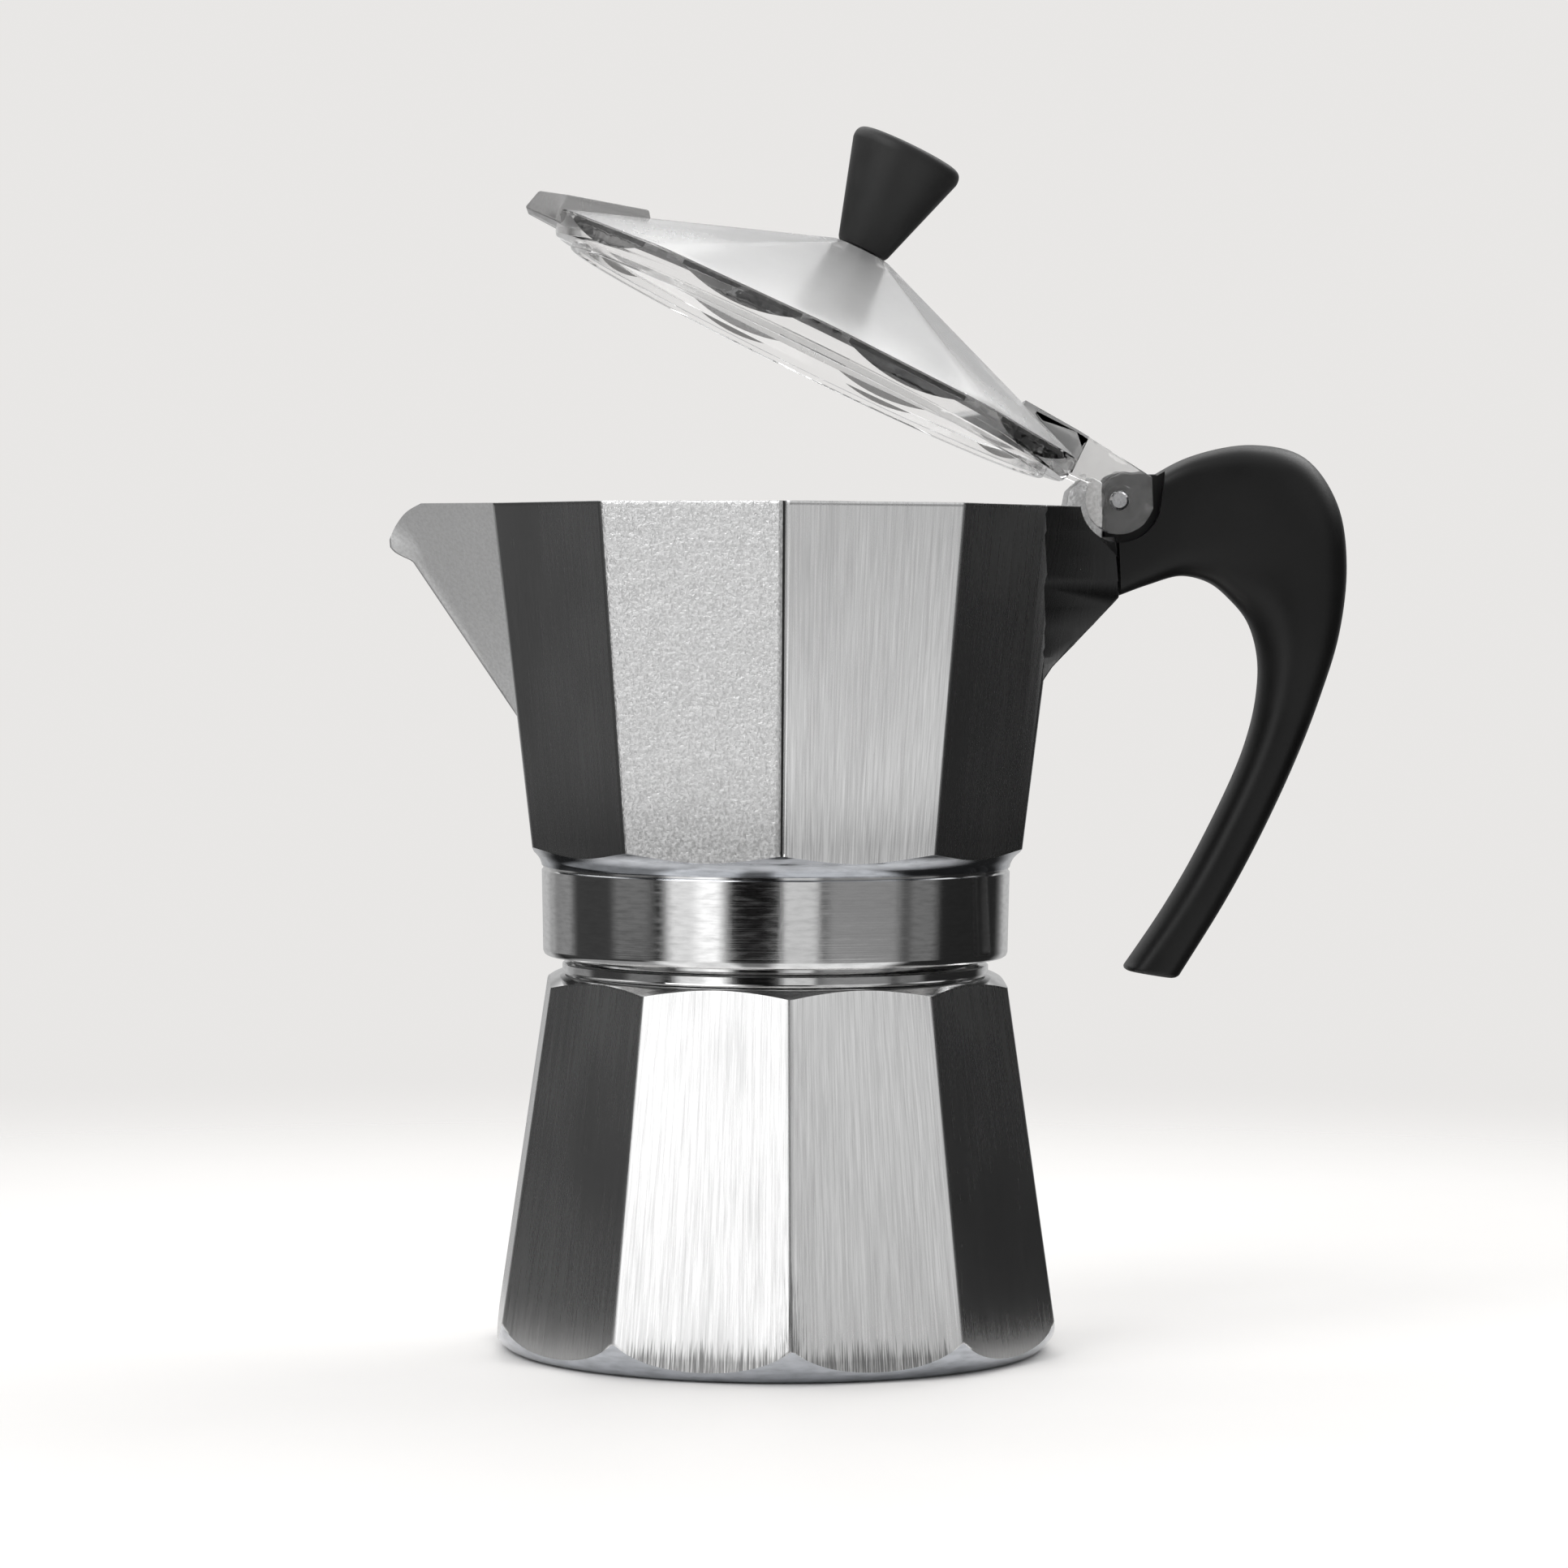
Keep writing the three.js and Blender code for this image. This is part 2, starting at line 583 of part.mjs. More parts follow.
function handle() {
  const cheeks = sideSlab([
    [52.3, 128], [52.3, 139.2], [53.2, 140.6], [54.7, 141.2], [60.6, 141.3], [66, 139], [66, 128],
  ], -CHEEK + 0.1, CHEEK - 0.1);
  const slotEnd = TONGUE_END + 0.4;
  const slot = join(
    sideSlab([[46, 124], [slotEnd, 126.2], [slotEnd, 133.8], [59, 135.6], [59, 138], [46, 142]], -SLOT, SLOT),
    crossBar(PIN_X, PIN_Z, 4.65, -SLOT, SLOT),
    sideSlab([[46, 136], [PIN_X, 136], [PIN_X, 150], [46, 150]], -SLOT, SLOT),
  );
  const pocketCut = join(earRoom(CHEEK, 20), earRoom(-20, -CHEEK));
  const body = cut(loft(hookSections()), pocketCut);
  const frontCut = sideSlab([[48, 115], [55.25, 115], [54.25, 131.2], [48, 131.2]], -20, 20);
  return cut(join(body, cheeks), slot, frontCut, crossBar(PIN_X, PIN_Z, PIN_HOLE, -20, 20));
}

function hingePin() {
  const end = EAR_OUTER - 0.2;
  const half = [[PIN_RADIUS, end - 0.3], [PIN_RADIUS - 0.3, end], [0, end]];
  const profile = [...half.map(([r, z]) => [r, -z]).reverse(), ...half];
  const geometry = latheGeometry(profile, SMALL_ROUND).rotateX(Math.PI / 2);
  return solid(geometry.translate(PIN_X, 0, PIN_Z));
}

// ---- Lid and knob, made closed ----

function lidArms() {
  const arc = new THREE.Shape();
  arc.moveTo(36, 141.7);
  arc.lineTo(43, 139.2);
  arc.lineTo(45.4, 137.2);
  arc.lineTo(PIN_X - EAR_RADIUS, PIN_Z + 0.4);
  arc.absarc(PIN_X, PIN_Z, EAR_RADIUS, Math.PI, 2 * Math.PI, false);
  arc.lineTo(PIN_X + EAR_RADIUS, PIN_Z + 1.2);
  arc.lineTo(PIN_X + 3.1, PIN_Z + 5.65);
  arc.lineTo(43.6, 144.2);
  arc.lineTo(36, 144.4);
  const plate = sideSlab([
    [34, 142.2], [43, 139.2], [PLATE_END, 137.6], [PLATE_END, 144], [43.6, 144.2], [34, 144.8],
  ], -EAR_OUTER, EAR_OUTER);
  return join(sideShape(arc, EAR_INNER, EAR_OUTER), sideShape(arc, -EAR_OUTER, -EAR_INNER), plate);
}

// The small hood over the spout.
function spoutCover() {
  const side = sideSlab([
    [-51.3, 137.6], [-50.4, 140.9], [-33.2, 145.6], [-32.2, 144.2], [-43.6, 138.4], [-44.6, 137.6],
  ], -20, 20);
  const plan = planSlab([[-51.6, 7], [-46, 11], [-30, 11]], 130, 150);
  return side.intersect(plan);
}

function lid() {
  const panels = tenSided([
    [0, LID_SEAT], [LID_CORNER, LID_SEAT], [LID_CORNER, LID_CREASE], [4.9, LID_TOP], [0, LID_TOP],
  ]);
  const skin = turned([[0, LID_SEAT], [45.3, LID_SEAT], [48.4, 141.3], [48.4, 160], [0, 160]]);
  const lip = ring(LIP_RADIUS - LIP_THICKNESS, LIP_RADIUS, LIP_BOTTOM, LID_SEAT + 1, ROUND);
  const underside = LID_TOP - LID_SHELL - 0.9;
  const bore = LIP_RADIUS - LIP_THICKNESS;
  const inside = turned([
    [0, 130], [bore, 130], [bore, LID_SEAT + 1], [bore + 2, LID_CREASE - 0.8], [7, underside], [0, underside],
  ], INNER_ROUND);
  const boss = join(
    disc(BOSS_RADIUS, BOSS_BOTTOM, LID_TOP - 1),
    ring(BOSS_RADIUS - 1.5, BOSS_RADIUS, SKIRT_BOTTOM, BOSS_BOTTOM + 0.5),
  );
  const bossBore = join(
    disc(1.9, BOSS_BOTTOM - 1, SPIGOT_BOTTOM, SMALL_ROUND),
    disc(SPIGOT_RADIUS + GAP, SPIGOT_BOTTOM - GAP, 160, SMALL_ROUND),
  );
  const pinHole = crossBar(PIN_X, PIN_Z, PIN_HOLE, -20, 20);
  const shell = cut(panels.intersect(skin), inside);
  return cut(join(shell, lip, boss, spoutCover(), lidArms()), bossBore, pinHole);
}

function knob() {
  const top = KNOB_BOTTOM + KNOB_HEIGHT;
  const body = turned([
    [0, SPIGOT_BOTTOM], [SPIGOT_RADIUS, SPIGOT_BOTTOM], [SPIGOT_RADIUS, KNOB_BOTTOM],
    [KNOB_NECK_RADIUS - 0.3, KNOB_BOTTOM], [KNOB_NECK_RADIUS, KNOB_BOTTOM + 0.5],
    ...curve([KNOB_TOP_RADIUS - 0.35, top - 2], [KNOB_TOP_RADIUS, top], [KNOB_TOP_RADIUS - 1.6, top], 4),
    [0, top + 0.2],
  ], INNER_ROUND);
  return cut(
    body,
    disc(SCREW_BORE, SPIGOT_BOTTOM - 1, INSERT_BOTTOM, SMALL_ROUND),
    disc(2.7, INSERT_BOTTOM - 0.15, INSERT_TOP + 0.15, SMALL_ROUND),
  );
}

function knobInsert() {
  return ring(1.65, 2.55, INSERT_BOTTOM, INSERT_TOP, SMALL_ROUND);
}

function knobWasher() {
  return ring(1.75, 4.4, BOSS_BOTTOM - 1 - GAP, BOSS_BOTTOM - GAP, SMALL_ROUND);
}

function knobScrew() {
  const headTop = BOSS_BOTTOM - 1 - 2 * GAP;
  const body = turned([
    [0, headTop - 2], [2.4, headTop - 2], [3.2, headTop - 1], [3.2, headTop],
    [1.45, headTop], [1.45, 158.6], [1, 159.2], [0, 159.2],
  ], SMALL_ROUND);
  const slots = [[2.2, 0.4], [0.4, 2.2]].map(([x, y]) =>
    planSlab([[-x, y], [x, y]], headTop - 3, headTop - 0.9),
  );
  return cut(body, ...slots);
}

// ---- Assembly ----

const valve = group(
  piece("valve_washer", valveWasher(), fibre),
  piece("valve_body", valveBody(), brass),
  piece("valve_plunger", valvePlunger(), steel),
  piece("valve_spring", valveSpring(), steel),
  piece("valve_cap", valveCap(), brass),
);
valve.applyMatrix4(valvePlace().matrix);

const boilerGroup = group(piece("boiler", boiler(), castAluminium), valve);
boilerGroup.rotation.z = BOILER_TURN;

const lidGroup = group(
  piece("lid", lid(), clearPlastic),
  piece("knob", knob(), blackNylon),
  piece("knob_insert", knobInsert(), brass),
  piece("knob_washer", knobWasher(), steel),
  piece("knob_screw", knobScrew(), steel),
);
lidGroup.position.set(-PIN_X, 0, -PIN_Z);
const hinge = group(lidGroup);
hinge.rotation.y = LID_OPEN;
hinge.position.set(PIN_X, 0, PIN_Z);

const basketSieve = sieve(BASKET_RADIUS - SHEET - GAP, BASKET_FLOOR + 0.7, BASKET_FLOOR + 1.5, 3, 7.4);
const topSieve = sieve(29, GASKET_TOP + GAP + 0.1, GASKET_TOP + 1, 3, 7);

export default group(
  boilerGroup,
  piece("funnel", funnel(), pressedAluminium),
  piece("funnel_stem", funnelStem(), pressedAluminium),
  piece("funnel_sieve", basketSieve, pressedAluminium),
  piece("gasket", gasket(), silicone),
  piece("filter_plate", topSieve, pressedAluminium),
  piece("upper_chamber", upperChamber(), castAluminium),
  piece("handle", handle(), blackNylon),
  piece("hinge_pin", hingePin(), steel),
  hinge,
);
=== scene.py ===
"""The looks of a stove-top moka pot: fine meshes and materials over the CAD frame, in a soft pale studio.

Points below are in millimetres, in the frame of the CAD: +Z up, the spout along -X and the handle along +X.
Angles round the pot are measured from -Y towards +X.
"""

import math

import bmesh
import bpy
from mathutils import Matrix, Quaternion, Vector


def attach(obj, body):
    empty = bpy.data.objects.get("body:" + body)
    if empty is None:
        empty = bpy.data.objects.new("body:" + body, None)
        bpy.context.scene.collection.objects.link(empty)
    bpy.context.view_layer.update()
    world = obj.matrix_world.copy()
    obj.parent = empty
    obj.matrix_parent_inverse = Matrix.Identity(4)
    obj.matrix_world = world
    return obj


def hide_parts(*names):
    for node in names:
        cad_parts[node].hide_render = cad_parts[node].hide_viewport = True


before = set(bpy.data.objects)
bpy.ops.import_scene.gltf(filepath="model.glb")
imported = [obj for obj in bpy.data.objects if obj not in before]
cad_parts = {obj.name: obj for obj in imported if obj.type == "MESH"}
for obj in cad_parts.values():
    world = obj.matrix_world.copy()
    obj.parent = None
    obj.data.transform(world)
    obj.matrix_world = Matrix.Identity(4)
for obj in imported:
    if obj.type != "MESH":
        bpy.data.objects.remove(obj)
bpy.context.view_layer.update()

MM = 0.001
SIDES = 10
SIDE = 2 * math.pi / SIDES
FLAT = math.cos(SIDE / 2)

# Heights and radii shared by several pieces
BOILER_TURN = math.radians(2.3)  # how far the boiler is turned against the upper chamber
BOILER_BASE_CORNER = 47.3
BOILER_TOP_CORNER = 38.2
SHOULDER_Z = 60.8
NECK_TOP = 73.6
COLLAR_BOTTOM = 63.5
COLLAR_TOP = 78.0
COLLAR_RADIUS = 37.8
FLOOR_Z = 82.5  # inside the upper chamber
RIM_Z = 136.0
RIM_CORNER = 47.85
CHAMBER_SLOPE = 0.1235  # how much the corner's radius grows with the height
THREAD_PITCH = 3
VALVE_Z = 36
VALVE_SIDE = 4.5  # of the ten sides, counted from -Y
PIN = Vector((54.5, 0, 137))
PIN_BORE = 1.6
EAR_ROOM = 6.75  # radius of the room that an ear turns in
EAR_INSIDE = 6  # where that room starts, from the middle
BRACKET_END = 54.8
BRACKET_HALF = 9
TONGUE_HALF = 2.4
SLOT_HALF = 2.75
BETWEEN_EARS = 5.9  # half width of the web and the cheeks that the lid's ears pass
AXIS = 0.02  # how near to the axis a profile comes, since a ring can't be a single point
FAR = 20  # past the side of anything that a cutter cuts
LID_OPEN = math.radians(25.6)


# ---- Meshes ----


def new_object(name, points, faces, finishes):
    """A mesh object from points in millimetres, with a material or None for each face."""
    mesh = bpy.data.meshes.new(name)
    mesh.from_pydata([Vector(p) * MM for p in points], [], faces)
    materials = [material for material in dict.fromkeys(finishes) if material]
    for material in materials:
        mesh.materials.append(material)
    if materials:
        mesh.polygons.foreach_set("material_index", [materials.index(material) for material in finishes])
    mesh.update()
    obj = bpy.data.objects.new(name, mesh)
    bpy.context.scene.collection.objects.link(obj)
    fix = bmesh.new()
    fix.from_mesh(mesh)
    bmesh.ops.recalc_face_normals(fix, faces=fix.faces)
    fix.to_mesh(mesh)
    fix.free()
    return obj


def loft(name, rings, finish=None, finish_at=None):
    """A closed solid through rings of points, capped at both ends.

    finish_at(ring, column) gives the material between a ring and the next, where it isn't the same all over.
    """
    count = len(rings[0])
    faces, spots = [], []
    for r in range(len(rings) - 1):
        for c in range(count):
            a, b = r * count + c, r * count + (c + 1) % count
            faces.append((a, b, b + count, a + count))
            spots.append((r, c))
    last = (len(rings) - 1) * count
    faces += [tuple(range(count)), tuple(range(last, last + count))]
    spots += [(0, 0), (len(rings) - 2, 0)]
    finishes = [finish_at(*spot) if finish_at else finish for spot in spots]
    return new_object(name, [p for ring in rings for p in ring], faces, finishes)


def extruded(name, outline, low, high, plane="xz", finish=None):
    """An outline in a plane, as thick as from low to high along the third axis."""
    put = {"xz": lambda p, t: (p[0], t, p[1]), "xy": lambda p, t: (p[0], p[1], t)}
    rings = [[put[plane](p, t) for p in outline] for t in (low, high)]
    return loft(name, rings, finish)


def mirrored(half):
    """A half outline, with its first coordinate along the middle line, closed by its mirror image."""
    return [*half, *[(x, -y) for x, y in reversed(half)]]


def bar(name, centre, radius, low, high, steps=64, finish=None):
    """A round bar along Y."""
    angles = [2 * math.pi * i / steps for i in range(steps)]
    ring = [(centre.x + radius * math.cos(a), centre.z + radius * math.sin(a)) for a in angles]
    return extruded(name, ring, low, high, finish=finish)


def turned(name, profile, steps=96, finish=None, finish_at=None):
    """A profile of (radius, height) pairs turned about the Z axis."""
    angles = [2 * math.pi * i / steps for i in range(steps)]
    rings = [[around(a, max(r, AXIS), z) for a in angles] for r, z in profile]
    return loft(name, rings, finish, finish_at)


def around(angle, radius, z):
    """A point at a height, round from -Y towards +X."""
    return (radius * math.sin(angle), -radius * math.cos(angle), z)


def boolean(obj, other, operation):
    """obj joined with, cut by or kept inside other, which is used up."""
    modifier = obj.modifiers.new(operation, "BOOLEAN")
    modifier.operation = operation
    modifier.solver = "EXACT"
    modifier.material_mode = "TRANSFER"
    modifier.object = other
    apply_modifiers(obj)
    bpy.data.objects.remove(other)
    return obj


def join(obj, *others):
    for other in others:
        boolean(obj, other, "UNION")
    return obj


def cut(obj, *others):
    for other in others:
        boolean(obj, other, "DIFFERENCE")
    return obj


def keep(obj, *others):
    for other in others:
        boolean(obj, other, "INTERSECT")
    return obj


def apply_modifiers(obj):
    """Swaps the mesh for what its modifiers make of it."""
    graph = bpy.context.evaluated_depsgraph_get()
    result = bpy.data.meshes.new_from_object(obj.evaluated_get(graph))
    obj.modifiers.clear()
    obj.data = result


def soften(obj, width, angle=35, segments=2):
    """Rounds the edges that turn by more than an angle in degrees."""
    modifier = obj.modifiers.new("soft_edges", "BEVEL")
    modifier.width = width * MM
    modifier.segments = segments
    modifier.limit_method = "ANGLE"
    modifier.angle_limit = math.radians(angle)
    apply_modifiers(obj)
    return obj


def smooth(obj, angle=32):
    """Shades the mesh smooth, apart from edges that turn by more than an angle in degrees."""
    obj.data.shade_smooth()
    obj.data.set_sharp_from_angle(angle=math.radians(angle))
    return obj


def bezier(start, control, end, pieces):
    """Points on a quadratic curve, the first and last included."""
    result = []
    for i in range(pieces + 1):
        t = i / pieces
        shares = ((1 - t) ** 2, 2 * t * (1 - t), t * t)
        result.append(tuple(sum(s * p[k] for s, p in zip(shares, (start, control, end))) for k in (0, 1)))
    return result


def through(stations, pieces):
    """A smooth curve through stations, which are tuples of numbers, in a number of pieces between them."""
    result = []
    last = len(stations) - 1
    for i in range(last):
        before, start, end, after = (stations[min(max(k, 0), last)] for k in (i - 1, i, i + 1, i + 2))
        for j in range(pieces):
            t = j / pieces
            result.append(tuple(
                b + 0.5 * t * (c - a + t * (2 * a - 5 * b + 4 * c - d + t * (3 * (b - c) + d - a)))
                for a, b, c, d in zip(before, start, end, after)
            ))
    return [*result, stations[-1]]


# ---- Ten-sided surfaces ----

EDGE_ROUNDING = 2.0  # radius of the rounded edge between two flat sides
NEAR_EDGE = [0.25, 0.5, 0.75, 1, 1.6]  # degrees from an edge
COLUMN_OFFSETS = [0, *NEAR_EDGE, *range(3, 34, 2), *[36 - offset for offset in reversed(NEAR_EDGE)]]
COLUMNS = [k * SIDE + math.radians(offset) for k in range(SIDES) for offset in COLUMN_OFFSETS]


def side_radius(angle, corner, rounding=EDGE_ROUNDING):
    """The distance from the axis to a ten-sided outline with rounded corners, the first at angle 0."""
    off = abs((angle + SIDE / 2) % SIDE - SIDE / 2)
    side = corner * FLAT
    rounding = min(rounding, side / 3)
    centre = (side - rounding) / FLAT
    touch = math.atan2(rounding * math.sin(SIDE / 2), centre + rounding * FLAT)
    if off >= touch:
        return side / math.cos(SIDE / 2 - off)
    return centre * math.cos(off) + math.sqrt(rounding**2 - (centre * math.sin(off)) ** 2)


def trimmed(profile, angle, corner_at, count):
    """Points along a turned profile from its start to where it meets the ten-sided surface."""
    gaps = [side_radius(angle, corner_at(z)) - r for r, z in profile]
    last = next(i for i, gap in enumerate(gaps) if gap < 0)
    share = gaps[last - 1] / (gaps[last - 1] - gaps[last])
    meeting = Vector(profile[last - 1]).lerp(Vector(profile[last]), share)
    path = [*profile[:last], tuple(meeting)]
    return [along(path, i / count) for i in range(count + 1)]


def along(path, share):
    """The point at a share of a path's length."""
    lengths = [math.dist(a, b) for a, b in zip(path, path[1:])]
    left = share * sum(lengths)
    for (a, b), length in zip(zip(path, path[1:]), lengths):
        if left <= length:
            return tuple(Vector(a).lerp(Vector(b), left / length if length else 0))
        left -= length
    return path[-1]


def rings_of(columns):
    """Rings of points from columns, which are lists of (radius, height) for each angle in COLUMNS."""
    return [[around(a, r, z) for a, (r, z) in zip(COLUMNS, ring)] for ring in zip(*columns)]


def screw_ridge(name, root, crest, bottom, turns, finish):
    """A right-hand thread between two radii."""
    section = ((root, -0.75), (crest, -0.35), (crest, 0.35), (root, 0.75))
    steps = 40
    rings = []
    for i in range(round(turns * steps) + 1):
        angle = math.pi / 2 + 2 * math.pi * i / steps
        z = bottom + THREAD_PITCH * i / steps
        rings.append([around(angle, r, z + h) for r, h in section])
    return loft(name, rings, finish)


def absorb(obj, *others):
    """Puts the faces of other objects in obj's mesh."""
    for other in others:
        own = [material.name for material in obj.data.materials]
        for material in other.data.materials:
            if material.name not in own:
                obj.data.materials.append(material)
                own.append(material.name)
        places = [own.index(other.data.materials[p.material_index].name) for p in other.data.polygons]
        other.data.polygons.foreach_set("material_index", places)
        both = bmesh.new()
        both.from_mesh(obj.data)
        both.from_mesh(other.data)
        both.to_mesh(obj.data)
        both.free()
        bpy.data.objects.remove(other)
    return obj


# ---- Material nodes ----


class Nodes:
    """A node tree: each method adds nodes and returns the socket that they give."""

    def __init__(self, tree):
        self.tree = tree

    def node(self, kind, **settings):
        node = self.tree.nodes.new(kind)
        for key, value in settings.items():
            setattr(node, key, value)
        return node

    def put(self, value, socket):
        if isinstance(value, bpy.types.NodeSocket):
            self.tree.links.new(value, socket)
        else:
            socket.default_value = value

    def math(self, operation, a, b=0.0):
        node = self.node("ShaderNodeMath", operation=operation)
        self.put(a, node.inputs[0])
        self.put(b, node.inputs[1])
        return node.outputs[0]

    def plus(self, a, b):
        return self.math("ADD", a, b)

    def minus(self, a, b):
        return self.math("SUBTRACT", a, b)

    def times(self, a, b):
        return self.math("MULTIPLY", a, b)

    def fade(self, value, start, end):
        """0 up to start, rising smoothly to 1 at end."""
        node = self.node("ShaderNodeMapRange", interpolation_type="SMOOTHSTEP")
        self.put(value, node.inputs["Value"])
        node.inputs["From Min"].default_value = start
        node.inputs["From Max"].default_value = end
        return node.outputs["Result"]

    def blend(self, share, a, b):
        node = self.node("ShaderNodeMix", data_type="RGBA")
        for value, key in ((share, "Factor"), (a, "A"), (b, "B")):
            self.put(value, node.inputs[key])
        return node.outputs["Result"]

    def angle_and_height(self, place):
        """The angle round the Z axis from -Y towards +X, and the height."""
        parts = self.node("ShaderNodeSeparateXYZ")
        self.put(place, parts.inputs[0])
        angle = self.math("ARCTAN2", parts.outputs["X"], self.times(parts.outputs["Y"], -1.0))
        return angle, parts.outputs["Z"]


class Finish(Nodes):
    """A material's nodes."""

    def __init__(self, name, **settings):
        self.material = bpy.data.materials.new(name)
        self.material.use_nodes = True
        super().__init__(self.material.node_tree)
        self.shader = self.tree.nodes["Principled BSDF"]
        for key, value in settings.items():
            self.shader.inputs[key.replace("_", " ")].default_value = value
        self.place = self.node("ShaderNodeTexCoord").outputs["Object"]

    def scaled(self, x, y, z):
        """The place on the piece, in metres, stretched along each axis."""
        node = self.node("ShaderNodeMapping", vector_type="POINT")
        self.put(self.place, node.inputs["Vector"])
        node.inputs["Scale"].default_value = (x, y, z)
        return node.outputs[0]

    def wrapped(self, across, along_axis):
        """The place as angle and height, so that a stretched noise follows a turned surface."""
        typical_radius = 0.04
        angle, height = self.angle_and_height(self.place)
        joined = self.node("ShaderNodeCombineXYZ")
        self.put(self.times(angle, typical_radius * across), joined.inputs["X"])
        self.put(self.times(height, along_axis), joined.inputs["Z"])
        return joined.outputs[0]

    def noise(self, vector, scale=1.0, detail=3.0, roughness=0.5, distortion=0.0):
        node = self.node("ShaderNodeTexNoise")
        self.put(vector, node.inputs["Vector"])
        settings = {"Scale": scale, "Detail": detail, "Roughness": roughness, "Distortion": distortion}
        for key, value in settings.items():
            node.inputs[key].default_value = value
        return node.outputs["Fac"]

    def remap(self, value, low, high, to_low, to_high):
        node = self.node("ShaderNodeMapRange")
        self.put(value, node.inputs["Value"])
        for key, number in (("From Min", low), ("From Max", high), ("To Min", to_low), ("To Max", to_high)):
            node.inputs[key].default_value = number
        return node.outputs["Result"]

    def worn(self):
        """How much of an outer edge a point is on."""
        return self.remap(self.node("ShaderNodeNewGeometry").outputs["Pointiness"], 0.505, 0.56, 0, 1)

    def painted_shade_low_down(self, tint, grain):
        """Painted shade: a tint that darkens unevenly over the last millimetres above the chamber's cone."""
        height = self.angle_and_height(self.place)[1]
        low = self.remap(height, 0.083, 0.099, 1, 0)
        share = self.times(self.times(low, low), self.remap(grain, 0.3, 0.6, 0.7, 0.35))
        return self.blend(share, tint, grey(0.3))

    def bump(self, height, distance, below=None):
        """A relief as deep as a distance in millimetres, over the relief below it."""
        node = self.node("ShaderNodeBump")
        self.put(height, node.inputs["Height"])
        node.inputs["Distance"].default_value = distance * MM
        if below:
            self.put(below, node.inputs["Normal"])
        return node.outputs[0]

    def done(self, colour=None, roughness=None, normal=None):
        """Links the sockets that vary over the surface, and gives the material."""
        for value, key in ((colour, "Base Color"), (roughness, "Roughness"), (normal, "Normal")):
            if value is not None:
                self.put(value, self.shader.inputs[key])
        return self.material


def grey(value, warm=0.0):
    """A grey, with warm added to its red and taken from its blue."""
    return (value + warm, value, value - warm, 1)


def brushed_aluminium(name, tone=0.8, foot=False):
    """Flat sides drawn over a belt from top to bottom: fine and broad streaks, and shinier edges.

    With a foot, the belt ran out low down: the streaks get duller there and leave dark smudges.
    """
    f = Finish(name, Metallic=1.0, Anisotropic=0.35)
    tangent = f.node("ShaderNodeTangent", direction_type="RADIAL", axis="Z")
    f.put(tangent.outputs[0], f.shader.inputs["Tangent"])
    fine = f.noise(f.wrapped(3800, 90), detail=4, roughness=0.6)
    broad = f.noise(f.wrapped(1500, 26), detail=3)
    streaks = f.plus(f.times(fine, 0.65), f.times(broad, 0.35))
    cloudy = f.noise(f.scaled(35, 35, 22), detail=2)
    tint = f.blend(f.remap(streaks, 0.36, 0.64, 0, 1), grey(tone * 0.84), grey(tone * 1.06))
    roughness = f.remap(streaks, 0.35, 0.65, 0.3, 0.2)
    roughness = f.plus(roughness, f.remap(cloudy, 0.35, 0.65, 0.05, -0.02))
    roughness = f.minus(roughness, f.times(f.worn(), 0.08))
    if foot:
        angle, height = f.angle_and_height(f.place)
        from_edge = f.math("ABSOLUTE", f.minus(angle, BOILER_TURN))
        by_edge = f.times(f.remap(from_edge, 0, 0.09, 1, 0), f.remap(height, 0.006, 0.028, 1, 0))
        in_front = f.remap(from_edge, 0.55, 0.65, 1, 0)
        by_base = f.times(in_front, f.remap(height, 0.0035, 0.008, 1, 0))
        where = f.math("MAXIMUM", by_edge, by_base)
        scratches = f.noise(f.wrapped(5200, 110), detail=4, roughness=0.65)
        smudge = f.remap(f.plus(scratches, f.times(where, 0.32)), 0.66, 0.86, 0, 0.8)
        tint = f.blend(smudge, tint, grey(0.1))
        low = f.remap(height, 0, 0.012, 1, 0)
        roughness = f.plus(roughness, f.times(f.times(low, low), 0.2))
    else:
        # painted shade low down on the chamber's sides
        tint = f.painted_shade_low_down(tint, fine)
    return f.done(tint, roughness, f.bump(streaks, 0.022))


def blasted_aluminium(name, dull, bright, rough, depth):
    """A side left as cast and blasted: fine pits over a gentle unevenness."""
    f = Finish(name, Metallic=1.0)
    grain = f.noise(f.place, scale=1900, detail=3, roughness=0.55)
    lumps = f.noise(f.place, scale=420, detail=2)
    cloudy = f.noise(f.place, scale=60, detail=2)
    height = f.plus(f.times(grain, 0.6), f.times(lumps, 0.55))
    # the tint takes painted shade low down on the chamber's sides
    tint = f.painted_shade_low_down(f.blend(f.remap(grain, 0.35, 0.65, 0, 1), grey(dull), grey(bright)), grain)
    roughness = f.remap(grain, 0.35, 0.65, rough + 0.1, rough)
    roughness = f.plus(roughness, f.remap(cloudy, 0.35, 0.65, 0.03, -0.02))
    return f.done(tint, roughness, f.bump(height, depth))


def turned_aluminium(name, bright, dull):
    """Lathe-turned collar, cone and base edge: rings, over the ripples of the thin wall."""
    f = Finish(name, Metallic=1.0)
    rings = f.noise(f.wrapped(25, 5200), detail=3)
    ripples = f.noise(f.wrapped(420, 120), detail=2, distortion=0.8)
    scuffs = f.noise(f.wrapped(300, 1400), detail=3)
    tint = f.blend(f.remap(scuffs, 0.4, 0.7, 0, 1), bright, dull)
    roughness = f.plus(f.remap(rings, 0.35, 0.65, 0.11, 0.06), f.remap(scuffs, 0.45, 0.7, 0, 0.07))
    wavy = f.bump(ripples, 0.005)
    return f.done(tint, roughness, f.bump(rings, 0.004, below=wavy))


